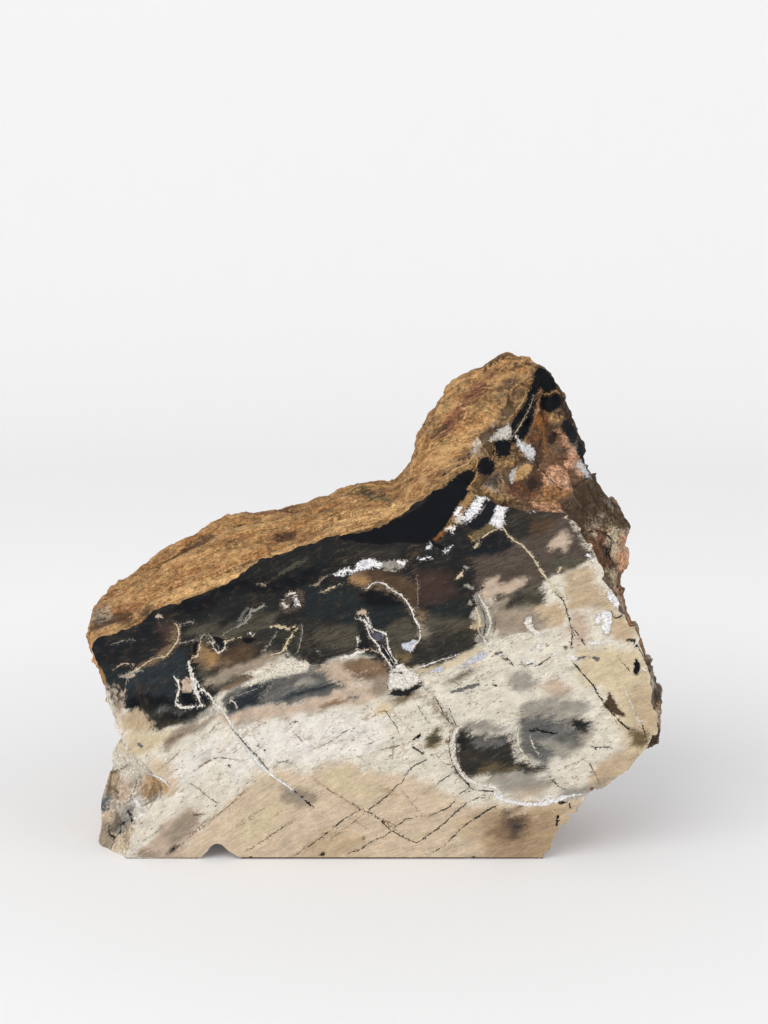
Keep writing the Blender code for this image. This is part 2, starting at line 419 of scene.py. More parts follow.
faceGround = [
    # upper dark wood
    ("coal", 3, [(-182, 150), (-176, 118), (-168, 112), (-158, 110), (-150, 106), (-143, 95), (-133, 85.5),
        (-120, 87), (-101, 96), (-92, 109), (-78, 121), (-70, 127), (-60, 130), (-50, 131), (-36, 124),
        (-28, 125), (-12, 131), (0, 131), (9, 121), (34, 124), (58, 133), (64, 139), (66, 148), (62, 158),
        (74, 178), (84, 190), (96, 200), (118, 214), (120, 232), (40, 250), (-60, 215), (-150, 175)]),
    ("deep", 2.5, [(-168, 124), (-157, 100), (-152, 96), (-146, 97), (-144, 108), (-150, 120)]),
    ("bark", 1.6, [(-162, 108, 0.6), (-152, 88, 1.2)]),
    ("olive", 4, [(-104, 142), (-66, 158), (-58, 156), (-62, 150), (-78, 144), (-96, 139)]),
    ("olive", 4, [(-110, 148), (-98, 153), (-92, 150), (-100, 144), (-112, 143)]),
    ("soot", 5, [(-72, 146), (-38, 152), (-16, 152), (-10, 146), (-12, 134), (-30, 131), (-68, 133),
        (-82, 138)]),
    ("olive", 3, [(-34, 144), (-24, 148), (-12, 148), (-9, 141), (-13, 135), (-24, 134), (-33, 138)]),
    ("slate", 2, [(-143, 122), (-137, 127), (-124, 131), (-120, 137), (-115, 134), (-112, 127), (-114, 120),
        (-119, 115), (-120, 108), (-122, 104), (-130, 106), (-140, 106), (-148, 108), (-150, 113)]),
    ("pitch", 2, [(-172, 139), (-146, 140), (-140, 137), (-146, 133), (-168, 128)]),
    ("pitch", 1.4, [(-137, 156), (-131, 158), (-127, 155), (-128, 149), (-131, 143), (-137, 142),
        (-144, 142), (-145, 146), (-140, 151)]),
    ("plum", 4, [(-131, 152), (-122, 151), (-119, 147), (-119, 140), (-123, 134), (-137, 128),
        (-127, 139)]),
    ("bark", 2.5, [(-121, 150, 1), (-120.5, 143, 1.6), (-122.5, 137, 2), (-128, 131, 2.2), (-143, 124, 1)]),
    ("soot", 2.5, [(-146, 106.5, 0.6), (-139, 110, 1.4), (-131, 110.5, 1.2), (-125, 108, 0.5)]),
    ("ink", 1.6, [(-151, 97), (-149, 101), (-145, 104.5), (-139, 106.5), (-133, 106), (-122, 103),
        (-119, 99.5), (-125, 98), (-134, 99.5), (-147, 95)]),
    ("smoke", 3, [(-132, 96.5, 1.2), (-124, 98, 1.4), (-116, 94, 1)]),
    ("soot", 1.5, [(-139, 93), (-130, 96), (-114, 93), (-108, 94.5), (-113, 90), (-121, 86.5), (-130, 85.5),
        (-136, 87)]),
    ("ink", 2, [(-132, 92.5, 1), (-122, 92.5, 1.6), (-113, 93.5, 0.8)]),
    ("olive", 3, [(-100, 126), (-94, 121), (-84, 122), (-76, 118), (-80, 113), (-92, 109), (-100, 112),
        (-105, 120)]),
    ("bark", 3, [(-105, 139), (-101, 140), (-94, 130), (-89, 128), (-86, 124), (-94, 122), (-104, 124),
        (-108, 128)]),
    ("amber", 3, [(-103, 136, 1), (-99, 132, 2), (-95, 127, 1.6)]),
    ("umber", 5, [(-92, 131), (-84, 138), (-76, 139), (-68, 134), (-74, 128), (-86, 125)]),
    ("taupe", 3, [(-101, 116), (-94, 118), (-68, 132), (-57, 131.5), (-61, 128), (-92, 113), (-100, 111)]),
    ("bark", 2, [(-90, 110, 1), (-82, 113, 1.8), (-76, 116, 1)]),
    ("deep", 3, [(-43, 171), (-22, 173), (-10, 173), (-4, 171), (4, 174), (16, 167), (23, 155), (20, 151),
        (12, 149), (6, 145), (1, 147), (-3, 152), (-26, 152), (-40, 155), (-46, 162)]),
    ("ink", 2, [(-3, 173), (3, 174.5), (8, 172), (18, 164), (14, 161), (4, 160), (-8, 168)]),
    ("ink", 6, [(-80, 178), (-64, 178), (-36, 184), (-28, 178), (-44, 172), (-62, 170), (-80, 170)]),
    ("ink", 4, [(-118, 163), (-90, 174), (-84, 168), (-112, 157)]),
    ("olive", 2.5, [(6, 146), (20, 154), (24, 151), (27, 146), (27, 139), (22, 133), (16, 131), (10, 134)]),
    ("bark", 2.5, [(-13, 181), (-8, 183), (2, 184), (20, 179), (25, 176), (26, 168), (22, 164), (4, 175.5),
        (-1, 175.5), (-4, 173.5), (-10, 175)]),
    ("umber", 3, [(-4, 182), (4, 184), (25, 177), (27, 168), (24, 163), (20, 164), (8, 176), (0, 177)]),
    ("amber", 2, [(-12, 179, 1.6), (-8, 178, 2.6), (-4, 177, 1.2)]),
    ("soot", 3, [(-18, 194), (0, 196), (14, 196), (13, 190), (-14, 189)]),
    ("plum", 5, [(28, 182), (46, 182), (50, 172), (46, 164), (32, 162), (27, 168)]),
    ("bark", 3, [(23, 160, 1), (30, 157, 1.8), (36, 154.5, 1)]),
    ("taupe", 2, [(28, 156, 1), (31, 150, 2.5), (31, 144, 3), (28, 140, 1)]),
    ("deep", 4, [(34, 162), (50, 163), (60, 160), (58, 153), (46, 153), (35, 156)]),
    ("olive", 4, [(34, 154), (62, 152), (64, 143), (56, 138), (44, 140), (34, 144)]),
    ("soot", 4, [(28, 142), (52, 146), (62, 142), (60, 136), (36, 130), (26, 131)]),
    ("soot", 4, [(46, 138, 1.5), (56, 139, 2.5)]),
    ("soot", 2, [(20, 124), (24, 129), (44, 130), (40, 126), (30, 124)]),
    ("moss", 2.5, [(14, 130, 3), (19, 128, 3)]),
    # brown and grey wood right of the crest
    ("mauve", 3, [(66, 198), (84, 218), (92, 221), (104, 221), (117, 218), (128, 203), (132, 194),
        (127, 189), (120, 190), (112, 186), (100, 173), (80, 166), (68, 168), (62, 176), (60, 188)]),
    ("soot", 3, [(77, 211), (80, 217), (86, 221), (112, 219), (108, 214), (86, 202)]),
    ("pitch", 3, [(60, 202), (78, 208), (84, 200), (78, 194), (66, 192), (58, 196)]),
    ("umber", 5, [(96, 216), (108, 216), (112, 210), (104, 206), (95, 209)]),
    ("rose", 2.5, [(107, 198), (113, 206), (117, 208), (119, 205), (119, 201), (117, 197.5)]),
    ("mauve", 3, [(84, 196), (94, 198), (104, 196), (108, 190), (100, 186), (90, 188)]),
    ("olive", 3, [(108, 192), (118, 193), (126, 190), (124, 184), (114, 180), (106, 184)]),
    ("mauve", 3, [(70, 190), (76, 194), (84, 190), (86, 182), (78, 178), (70, 181), (66, 186)]),
    ("rose", 2.5, [(68, 178), (74, 179), (80, 177), (91, 179), (93, 176), (88, 172.5), (70, 166),
        (66, 170)]),
    ("olive", 3, [(74, 168), (84, 170), (94, 175), (102, 174), (104, 166), (98, 160), (88, 158),
        (76, 159)]),
    ("soot", 3, [(76, 160, 1.4), (86, 164, 2.6), (98, 169, 1.6)]),
    ("taupe", 3, [(66, 162), (76, 165), (84, 168), (80, 163), (72, 158)]),
    # pale wood on the right
    ("taupe", 5, [(70, 158), (100, 160), (108, 156), (104, 148), (90, 144), (76, 144), (68, 150)]),
    ("buff", 2, [(100, 161), (104, 164), (110, 164), (114, 161), (115.5, 155), (114, 149), (110, 149),
        (102, 157)]),
    ("buff", 5, [(116, 180), (124, 186), (132, 182), (148, 160), (146, 156), (134, 160), (124, 158),
        (118, 160)]),
    ("rose", 4, [(121, 157), (130, 158), (132, 148), (130, 138), (122, 140), (119, 148)]),
    ("buff", 2, [(144, 154), (152, 157), (158, 150), (161, 142), (158, 139), (150, 141), (144, 144)]),
    ("straw", 5, [(128, 136), (150, 136), (163, 132), (172, 118), (178, 100), (180, 72), (168, 60),
        (156, 66), (152, 84), (146, 96), (150, 106), (140, 112), (126, 128)]),
    ("straw", 5, [(126, 126), (140, 126), (146, 118), (138, 112), (128, 116)]),
    ("buff", 5, [(158, 112), (168, 114), (174, 104), (176, 88), (168, 84), (160, 92), (157, 102)]),
    ("moss", 4, [(160, 86), (168, 84), (170, 76), (164, 72), (158, 76)]),
    ("rose", 4, [(104, 112), (108, 106), (118, 104), (122, 110), (112, 116)]),
    ("ash", 6, [(86, 120), (96, 119), (100, 112), (92, 108), (84, 111)]),
    ("ash", 5, [(92, 102), (126, 104), (132, 98), (120, 92), (104, 92), (94, 94)]),
    ("buff", 4, [(134, 58), (150, 68), (162, 70), (166, 62), (138, 44)]),
    ("taupe", 3, [(136, 54, 1), (142, 52, 2), (147, 53, 1)]),
    ("ash", 4, [(118, 46), (138, 50), (136, 42), (124, 38), (116, 42)]),
    # grey and cream wood in the middle
    ("rose", 3, [(-92, 92), (-72, 98.5), (-50, 100.5), (-38, 103.5), (-20, 111.5), (2, 113), (8, 110),
        (6, 104), (-14, 99), (-24, 99), (-54, 91), (-68, 91), (-80, 88), (-90, 88)]),
    ("bark", 2, [(-32, 98, 0.8), (-27, 100, 1.6), (-13, 103.6, 0.8)]),
    ("taupe", 2.5, [(-40, 94.5, 1), (-31, 96, 0.6)]),
    ("taupe", 2.5, [(-61, 91.5, 0.8), (-56, 91.5, 1.8), (-50, 90.5, 1.6), (-47.5, 88.5, 0.8)]),
    ("taupe", 2.5, [(-83, 87, 0.8), (-78, 88, 1.6), (-74, 89.5, 0.8)]),
    ("smoke", 1.6, [(-92, 104), (-78, 112), (-50, 119), (-36, 123.5), (-30, 123.5), (-22, 115),
        (-17, 111.5), (-34, 104), (-46, 101), (-66, 100), (-84, 95), (-91, 99)]),
    ("slate", 1.6, [(-80, 109), (-74, 112.5), (-68, 113.5), (-63, 112.5), (-65, 108.5), (-70, 106.5),
        (-77, 106.5)]),
    ("slate", 1.4, [(-88, 100), (-84, 104), (-72, 107.5), (-68, 104), (-73, 100), (-80, 98), (-86, 97)]),
    ("slate", 3, [(-56, 103.5, 0.8), (-33, 109.5, 1.8), (-24, 112, 1.2)]),
    ("ash", 3, [(-46, 113, 1), (-40, 115.5, 2.4), (-34, 115.5, 1.2)]),
    ("bark", 1.4, [(-22, 121), (-17, 126), (-5, 129.6), (0, 130), (8, 126), (9.6, 122), (9.6, 115.5),
        (0, 114), (-7, 114.5), (-18, 118)]),
    ("taupe", 2.5, [(-2, 113.5), (4, 118.5), (9, 118.5), (9.2, 106), (5, 104), (0, 106)]),
    ("taupe", 2.5, [(-18, 119, 1), (-12, 116.5, 1.6), (-4, 114.5, 1)]),
    ("taupe", 3, [(-34, 122.5), (-18, 128), (-16, 125), (-22, 122), (-30, 120)]),
    ("dusk", 2.5, [(-15, 106.5, 1.2), (-11.5, 104.5, 1.8)]),
    ("ash", 2, [(22, 119.5, 0.8), (28, 119.5, 1.8), (33, 119, 0.8)]),
    ("taupe", 3, [(46, 116), (54, 121), (60, 121), (60, 117), (52, 114)]),
    ("smoke", 2.2, [(50, 117.2, 0.8), (54, 118.5, 1.4), (58, 120, 0.9)]),
    ("straw", 2, [(20, 122, 1), (32, 122.5, 1.6), (44, 125, 1.8), (56, 130, 2), (64, 135, 1.2)]),
    ("rose", 4, [(60, 127, 1.2), (64, 123, 1.6)]),
    ("moss", 3, [(12, 103), (24, 106), (22, 102), (17, 99.5), (13, 99.5)]),
    ("taupe", 3, [(26, 105, 1), (33, 104, 1.4)]),
    ("straw", 3, [(0, 97), (6, 101), (11, 98), (12, 94), (6, 93)]),
    ("straw", 3, [(-24, 86), (-8, 90), (0, 95), (-8, 93), (-20, 90)]),
    ("taupe", 2, [(37, 104), (45, 97), (48, 93), (49, 88), (54, 84), (50, 83), (43, 90), (37, 100)]),
    ("chalk", 8, [(-92, 62), (-84, 80), (-70, 88), (-10, 96), (4, 88), (4, 70), (-40, 62), (-60, 64),
        (-72, 60), (-84, 52)]),
    ("chalk", 7, [(-128, 52), (-116, 70), (-100, 80), (-92, 76), (-98, 62), (-112, 50), (-118, 38),
        (-126, 40)]),
    # left pale wood
    ("buff", 3, [(-152, 94), (-146, 96), (-140, 93), (-136, 86), (-140, 83), (-148, 84), (-153, 88)]),
    ("straw", 4, [(-150, 82), (-138, 84), (-120, 82), (-136, 70), (-146, 68), (-152, 72)]),
    ("taupe", 3.5, [(-130, 75), (-122, 82), (-100, 93), (-94, 92), (-124, 73)]),
    ("bark", 2.5, [(-126, 76.5, 0.8), (-113, 80, 0.7)]),
    ("smoke", 2, [(-112, 91, 0.8), (-99, 95.5, 1.3)]),
    ("sand", 3, [(-140, 62), (-129, 53), (-126, 47), (-128, 43), (-122, 42), (-120, 50), (-126, 60),
        (-134, 66)]),
    # tan wood along the foot
    ("sand", 5, [(-124, -6), (-113, 12), (-97, 31), (-70, 55), (-62, 57), (-38, 57), (-30, 62), (-14, 64),
        (-2, 57), (18, 56), (28, 51), (38, 50), (56, 38), (66, 36), (75, 37), (90, 33), (112, 34),
        (128, 38), (124, -6)]),
    ("straw", 6, [(-30, 58), (-14, 58), (0, 52), (6, 44), (-4, 38), (-16, 42), (-26, 48)]),
    ("straw", 8, [(-90, 22), (-60, 40), (-56, 30), (-80, 10)]),
    ("buff", 7, [(-40, 14), (-20, 20), (-6, 10), (-20, 3), (-44, 3)]),
    ("rose", 4, [(-146, 2), (-128, 24), (-116, 32), (-106, 30), (-126, -4)]),
    ("taupe", 4, [(-128, 14), (-122, 26), (-112, 31), (-108, 27), (-122, 8)]),
    ("soot", 2.6, [(-126.5, 5, 1.2), (-124, 7, 2.4), (-121.5, 8.5, 1.2)]),
    ("taupe", 4, [(-147, 3, 2), (-140, 4, 3), (-133, 4, 2)]),
    ("moss", 3.5, [(-54, 41, 1), (-50, 40, 2), (-46, 38.5, 1)]),
    ("taupe", 4, [(-56, 46), (-46, 48), (-36, 46), (-34, 38), (-44, 34), (-54, 36)]),
    ("dun", 3, [(4, 48, 0.8), (8, 45.5, 1.6), (13, 42.5, 0.8)]),
    ("buff", 6, [(56, 30), (126, 36), (122, -6), (60, -6), (66, 8)]),
    ("dun", 7, [(74, 30), (110, 32), (116, 26), (108, 2), (76, 2), (70, 14)]),
    ("bark", 6, [(82, 30), (94, 30), (98, 20), (90, 12), (80, 14), (76, 22)]),
    ("mauve", 5, [(86, 30, 1.5), (90, 24, 3.5), (88, 16, 2)]),
    ("bark", 4, [(71, 20, 1), (75, 18, 2.4), (79, 14, 1.2)]),
    # grey smoke in the lower middle right
    ("ash", 5, [(74, 54), (84, 58), (100, 56), (110, 52), (106, 45), (94, 42), (80, 43)]),
    ("rose", 4, [(88, 43, 1), (98, 43.5, 2), (106, 46, 1)]),
    ("ash", 5, [(92, 94), (122, 95), (136, 88), (134, 78), (124, 70), (112, 66), (100, 70), (88, 78)]),
    ("smoke", 4, [(92, 92), (104, 93), (116, 90), (128, 78), (118, 76), (92, 78), (90, 84)]),
    ("smoke", 4, [(90, 75), (100, 76), (110, 72), (110, 64), (104, 60), (92, 70)]),
    ("ash", 3, [(56, 88), (66, 90), (78, 88), (84, 84), (60, 82)]),
    ("soot", 2.5, [(50, 76), (51, 82), (55, 84.5), (62, 80), (78, 82), (84, 80), (89, 68), (99, 60.5),
        (106, 59.5), (104, 56.5), (70, 56.5), (62, 53.5), (57, 54.5), (53, 60)]),
    ("smoke", 4, [(62, 77, 1), (70, 76.5, 2.6), (80, 77, 1.6)]),
    ("moss", 4, [(66, 60, 1), (88, 60, 1.4)]),
    ("pitch", 3, [(54, 82, 1.4), (55, 77, 2.8), (54, 70, 1.5)]),
    ("soot", 2, [(121, 88), (122, 91), (126, 92.6), (131, 90.2), (133, 86), (132, 83), (127, 82.4),
        (123, 84)]),
    ("pitch", 2, [(124, 87, 0.6), (127.5, 87.5, 2.2), (130, 86.6, 0.6)]),
    ("moss", 2.5, [(33, 76), (38, 84.5), (42, 83.5), (43, 78), (42, 73), (38, 70.5), (34, 72)]),
    ("olive", 3, [(37, 75, 2), (39, 79, 2.6)]),
    ("rose", 1.2, [(-159, 111, 0.5), (-154.6, 104, 1), (-154, 93, 1), (-152, 88, 0.8)]),
    ("rose", 1.8, [(-29, 123), (-19, 125), (-17.5, 121.8), (-10, 117), (-14, 113), (-18, 113)]),
]

faceAreas = [
    # black wood under the rind
    ("ink", 1, [(-22, 203), (2, 212), (14, 214), (24, 219), (34, 229), (40, 238), (58, 234), (61, 226),
        (55, 221), (50, 215), (40, 205.5), (34, 201.5), (26, 199), (15, 199.5), (4, 198.5), (-6, 199.5)]),
    ("ink", 0.8, [(-80, 141), (-76, 141.3), (-71, 140.7), (-75, 138.6), (-78, 138.2)]),
    ("cream", 1.5, [(-69, 116.5), (-66, 119), (-62, 120.5), (-59, 124), (-51, 128.5), (-48, 128.5),
        (-46, 126.5), (-43, 126.5), (-39.5, 125), (-41, 122), (-49, 119.2), (-62, 117.4), (-67, 115.5)]),
    ("cream", 1.4, [(-82, 111.5), (-73, 116.2), (-70.5, 115.8), (-72, 113), (-77, 111.2)]),
    ("rose", 0.8, [(-118, 114.5), (-114, 116.8), (-112, 115.5), (-110.5, 110), (-111.5, 107.5),
        (-118, 108.8), (-117, 111)]),
    ("frost", 0.9, [(16, 136), (20, 138), (26, 139.6), (25, 136.5), (22.3, 132)]),
    ("dusk", 0.7, [(-2, 145), (5.5, 143), (5, 140.2), (2, 139.3), (-1, 141.3)]),
    ("pitch", 0.8, [(3, 134), (6, 136.5), (12.3, 127), (12.5, 122.5), (10.8, 121.5), (9.5, 125.5)]),
    ("pitch", 0.8, [(-9, 139.5), (-4, 140), (-3, 134.5), (-6, 133.6), (-9, 134.6)]),
    ("snow", 1.8, [(-24, 180.3), (-17, 183.7), (-12, 183.4), (-10, 186), (-4, 190), (4, 187.7), (6.5, 186),
        (4, 184.5), (1, 185), (-20, 180)]),
    ("ash", 2.4, [(5, 188), (17, 188.7), (18, 185.5), (12, 182.5), (7, 183)]),
    ("mauve", 1.8, [(-57, 163), (-55, 167), (-50, 169.3), (-45, 170.5), (-43, 168), (-43, 163), (-45, 160),
        (-53, 157), (-56.5, 159.5)]),
    ("moss", 0.9, [(58, 204), (69, 211.3), (72, 210.8), (74, 208.7), (66, 204.2), (60, 199.5)]),
    ("pitch", 1.6, [(56, 210), (63, 216), (66, 220.5), (68, 226), (72, 227), (73, 221), (71, 215),
        (68, 211.5), (62, 208)]),
    ("amber", 2, [(42, 206), (50, 214), (62, 229), (62, 232), (58, 231), (53, 225.5), (43, 209.5),
        (37, 203), (37.5, 201.5)]),
    ("snow", 2, [(53, 214), (59, 224), (67, 232), (73, 230), (71, 226.5), (66, 224.5), (63.5, 219.5),
        (56.5, 213)]),
    ("snow", 1.8, [(73, 209.5), (70, 213), (77, 229), (81, 235), (87, 234), (87, 228), (97, 222), (95, 219),
        (90, 220.5), (86, 223), (82, 222.5), (78.5, 219.5), (77.5, 214), (78.5, 210.3), (76, 208.6)]),
    ("chalk", 1.4, [(10, 120), (15, 124.7), (18, 124.3), (20, 122), (24, 120), (28, 113), (20, 109.6),
        (16, 109), (12, 109.6), (9, 108), (8, 112), (9.6, 116)]),
    ("coal", 1.3, [(9.5, 107), (12, 109), (20, 109), (27, 113), (29.5, 111.8), (23, 106.3), (19, 104.6),
        (10.5, 105)]),
    ("frost", 0.8, [(52, 121.8), (63, 131), (68, 131.6), (66, 128.6)]),
    ("frost", 0.8, [(33, 120), (38, 122.6), (42.5, 123.6), (42, 121.6), (38, 119.8)]),
    ("ash", 2.2, [(61, 168), (65, 166), (72, 155), (71.5, 148), (70, 143), (67, 138), (63, 138), (62, 141),
        (66, 146), (65, 152), (61, 163)]),
    ("buff", 1.8, [(57, 147.7), (60, 149.8), (65, 150.2), (66, 148), (61, 146.6)]),
    ("snow", 0.9, [(138, 155), (140, 157.6), (143, 157), (144, 153), (142.5, 144), (140.5, 143),
        (139, 147)]),
    ("snow", 0.8, [(134, 152), (136, 156), (137.3, 155), (137, 151), (135, 150)]),
    ("snow", 0.9, [(142, 170), (146, 167), (151, 157), (144, 163), (141.5, 167)]),
    ("chalk", 1, [(91, 151), (93, 154), (96, 154), (95, 150), (97, 147), (104, 143.3), (100, 142.5),
        (96, 144.2), (92, 148)]),
    ("snow", 0.7, [(99, 136), (100, 138.2), (102.2, 134.5), (101, 133.5)]),
    ("umber", 0.8, [(144, 107), (148, 99), (153, 92.5), (150, 92), (142, 97), (140.5, 100), (143, 103)]),
    ("ink", 0.7, [(159, 127), (161, 126), (161.5, 121), (160, 118), (158, 119.2)]),
    ("honey", 0.9, [(-139, 54), (-131, 51), (-126, 46), (-139, 37.5)]),
]

faceSpots = [
    ("ash", 0.7, [(-155, 116.5, 0.8), (-150, 118, 1.6), (-146, 120, 1.2), (-142, 120.5, 0.6)]),
    ("rose", 0.7, [(-150.5, 116, 0.9), (-147, 117.5, 0.8)]),
    ("rose", 0.6, [(-132.5, 154, 0.6), (-130.5, 155, 1.1), (-129, 153.8, 0.7)]),
    ("ink", 0.6, [(-118.5, 107), (-113, 106.7), (-109.5, 101), (-106, 99.5), (-110, 99), (-114, 100),
        (-117, 103)]),
    ("pitch", 0.6, [(-107.5, 106.5), (-104.5, 105.6), (-101, 100.7), (-104, 100.2), (-107, 101.5)]),
    ("ink", 0.6, [(-110, 131), (-108.3, 130.5), (-107, 134), (-106.5, 139.5), (-108.2, 139), (-110, 135)]),
    ("ink", 0.6, [(-99, 141.5), (-96, 142), (-92, 140.4), (-91.5, 138), (-97, 139.2)]),
    ("ink", 0.5, [(-96.5, 137.5), (-94, 138.2), (-91.5, 137), (-92.5, 135), (-94, 134.6), (-95, 132.8),
        (-95.8, 134)]),
    ("chalk", 0.5, [(-75.3, 144, 0.9)]),
    ("chalk", 0.5, [(-73, 142.4, 0.9), (-72.6, 142.8, 0.7)]),
    ("straw", 0.5, [(-62.5, 148, 0.9), (-60, 148.3, 0.7), (-57, 147.7, 1.3), (-54.5, 147.7, 1.1)]),
    ("straw", 0.5, [(-53.5, 146.4, 0.6), (-51, 147, 0.8), (-48.5, 148, 0.5)]),
    ("snow", 0.5, [(-47, 164.5, 1.5), (-46, 161.8, 1.3)]),
    ("cream", 0.5, [(-51.5, 168, 0.8), (-48, 169, 0.8)]),
    ("cream", 0.5, [(-55.5, 162.5, 0.9), (-53, 160.5, 1)]),
    ("ink", 0.5, [(-55.5, 166, 1.1)]),
    ("pitch", 0.5, [(-50.5, 160.3, 0.8), (-49, 163, 0.6)]),
    ("ash", 0.8, [(-83, 147.5, 0.6), (-76, 152.5, 0.9), (-75, 156, 1.1), (-72, 158.4, 1.3),
        (-66.5, 161, 0.6)]),
    ("smoke", 0.9, [(-82, 152, 0.9), (-79.5, 155.5, 1.2), (-76.5, 159.5, 1)]),
    ("taupe", 0.6, [(-71, 174.6, 0.5), (-67.5, 174.6, 1), (-65.5, 173.2, 0.4)]),
    ("olive", 1.2, [(-57, 181, 0.8), (-51, 184.3, 1.6), (-46, 187, 1.6), (-41, 188, 0.6)]),
    ("taupe", 0.6, [(-36.5, 173.8, 0.6), (-34, 174.5, 1)]),
    ("rose", 0.5, [(-9, 156.5, 1.6), (-6, 157.5, 1.2), (-4, 152, 0.6)]),
    ("chalk", 0.6, [(-20, 128.5, 0.8), (-14, 129.8, 1.4), (-10, 132, 1.3), (-6, 132.4, 0.6)]),
    ("cream", 0.5, [(-10.3, 141.5, 0.7), (-9.8, 139.5, 0.9), (-10, 137, 0.4)]),
    ("snow", 0.5, [(32, 196.6, 1), (33.5, 198, 1.3)]),
    ("snow", 0.5, [(28.5, 189.4, 0.9), (34.5, 191, 0.4)]),
    ("snow", 0.5, [(42.8, 193.3, 0.8), (47, 197.5, 0.4)]),
    ("ink", 0.8, [(36, 199, 2.2), (40, 197.5, 1.8)]),
    ("umber", 0.7, [(22, 189.5, 0.8), (24, 192.5, 1.4), (25.5, 194.5, 0.7)]),
    ("rust", 0.6, [(36.5, 202, 0.8), (39, 203.6, 1.1), (41, 205.2, 0.8)]),
    ("chalk", 0.5, [(43.5, 208.2, 0.8), (46, 208.6, 1), (48.7, 208.2, 0.6)]),
    ("snow", 0.5, [(47.3, 206, 0.8)]),
    ("snow", 0.6, [(48.5, 217, 0.8), (50.5, 219.5, 1.3), (52.5, 221.5, 0.7)]),
    ("chalk", 0.7, [(49, 214, 1), (53, 214.5, 1.3)]),
    ("ash", 0.7, [(50, 211.5, 1.2), (54, 211.5, 1)]),
    ("amber", 0.7, [(57, 203.8, 1), (59, 202.6, 0.8)]),
    ("straw", 0.5, [(60.5, 196.2, 0.7), (61.5, 198.3, 1.2), (63, 199.6, 0.7)]),
    ("straw", 0.6, [(50, 177.8, 0.8), (51.5, 179.3, 1.2), (53, 181.3, 0.6)]),
    ("ash", 0.6, [(54.5, 185, 0.9), (56.5, 184, 0.6)]),
    ("ash", 0.6, [(55, 173.5, 0.9), (58, 173, 1.1), (60, 171.3, 0.7)]),
    ("ash", 0.4, [(58, 162.2, 1.8)]),
    ("snow", 0.5, [(17, 187.2, 1.5), (14, 188.2, 0.7)]),
    ("frost", 0.5, [(-5.8, 187, 1.2)]),
    ("straw", 0.4, [(115, 215, 0.9)]),
    ("straw", 0.5, [(111, 182, 0.7), (112.5, 184.6, 1)]),
    ("ash", 0.4, [(124.5, 203.5, 0.9)]),
    ("snow", 0.5, [(128.5, 192.2, 0.8), (130.5, 191, 0.9), (132, 188.5, 0.6)]),
    ("straw", 0.7, [(120.5, 177, 0.7), (122.5, 178.5, 1), (124.5, 180.5, 0.6)]),
    ("snow", 0.5, [(119.5, 128.3, 0.8), (121.5, 128.8, 1.5)]),
    ("snow", 0.5, [(93, 125.6, 0.8), (97, 126.2, 0.9)]),
    ("snow", 0.4, [(109.5, 130.5, 1)]),
    ("snow", 0.6, [(132.5, 137.6, 1.2), (135, 138, 0.8)]),
    ("chalk", 0.6, [(138, 138.4, 0.7), (143, 139, 0.9), (148, 138, 0.6)]),
    ("snow", 0.6, [(164, 122, 1.2), (165.5, 120.5, 0.7)]),
    ("snow", 0.5, [(162, 88.5, 0.8), (163.5, 89, 0.5)]),
    ("soot", 0.7, [(153.5, 139.5, 0.8), (157.5, 139.3, 1.2)]),
    ("pitch", 0.5, [(159.5, 136, 0.9)]),
    ("smoke", 0.8, [(124.5, 128.3, 0.8), (128, 129, 1.3)]),
    ("smoke", 0.7, [(133.5, 128.7, 0.9), (135.5, 127.8, 1.2)]),
    ("moss", 0.5, [(116, 135.2, 1)]),
    ("smoke", 0.8, [(74, 131.2, 1), (77, 131.7, 0.8)]),
    ("moss", 0.7, [(78.5, 128.2, 0.9), (81, 127.3, 0.7)]),
    ("ink", 0.4, [(72.5, 112, 0.6), (74.3, 111.2, 0.9)]),
    ("soot", 0.4, [(12.2, 119.6, 0.8)]),
    ("soot", 0.4, [(15.3, 119, 1), (17, 118.6, 0.7)]),
    ("smoke", 1.2, [(46.5, 107, 0.5), (52, 108.6, 1.6), (58, 110.2, 1.6), (64, 112, 0.6)]),
    ("ink", 1, [(95, 82.6, 0.4), (100, 83, 1.1), (107, 81.6, 0.8), (114, 81, 0.4)]),
    ("bark", 0.5, [(44.5, 75.8, 1.2), (46, 74.8, 0.9)]),
    ("ink", 0.5, [(24.3, 77, 0.9), (26, 78.3, 1.2), (27.8, 79.5, 0.9)]),
    ("pitch", 0.5, [(23.5, 72.2, 0.6), (30, 68.2, 0.8)]),
    ("pitch", 0.4, [(135.8, 71.4, 0.9), (137, 70, 0.5)]),
    ("pitch", 0.4, [(133, 72.5, 0.3), (145.5, 72.3, 0.6)]),
    ("ink", 0.5, [(114.5, 36.3, 1), (117, 37.2, 0.9)]),
    ("ink", 0.6, [(113.4, 28, 0.8), (113.2, 25, 1.1), (112.8, 22.2, 0.8)]),
    ("pitch", 0.5, [(120.5, 36, 0.6), (121.3, 33.5, 0.9)]),
    ("soot", 0.5, [(-34, 2.8, 0.6), (-32, 3.6, 1), (-31, 4.6, 0.5)]),
    ("pitch", 0.4, [(-89.6, 60.5, 0.8)]),
    ("soot", 0.5, [(-71.2, 73, 0.9)]),
    ("soot", 0.5, [(-67.3, 70, 0.8)]),
    ("smoke", 0.6, [(-50, 88, 0.6), (-48, 88, 1)]),
    ("bark", 0.6, [(-7, 14.5, 0.4), (-6.5, 12.5, 0.9), (-6.2, 11.3, 0.4)]),
    ("steel", 0.6, [(-145, 74.5, 0.9), (-143, 72.5, 0.9)]),
    ("moss", 0.7, [(-112, 29, 0.6), (-107, 29, 0.8), (-105, 28.8, 0.5)]),
]

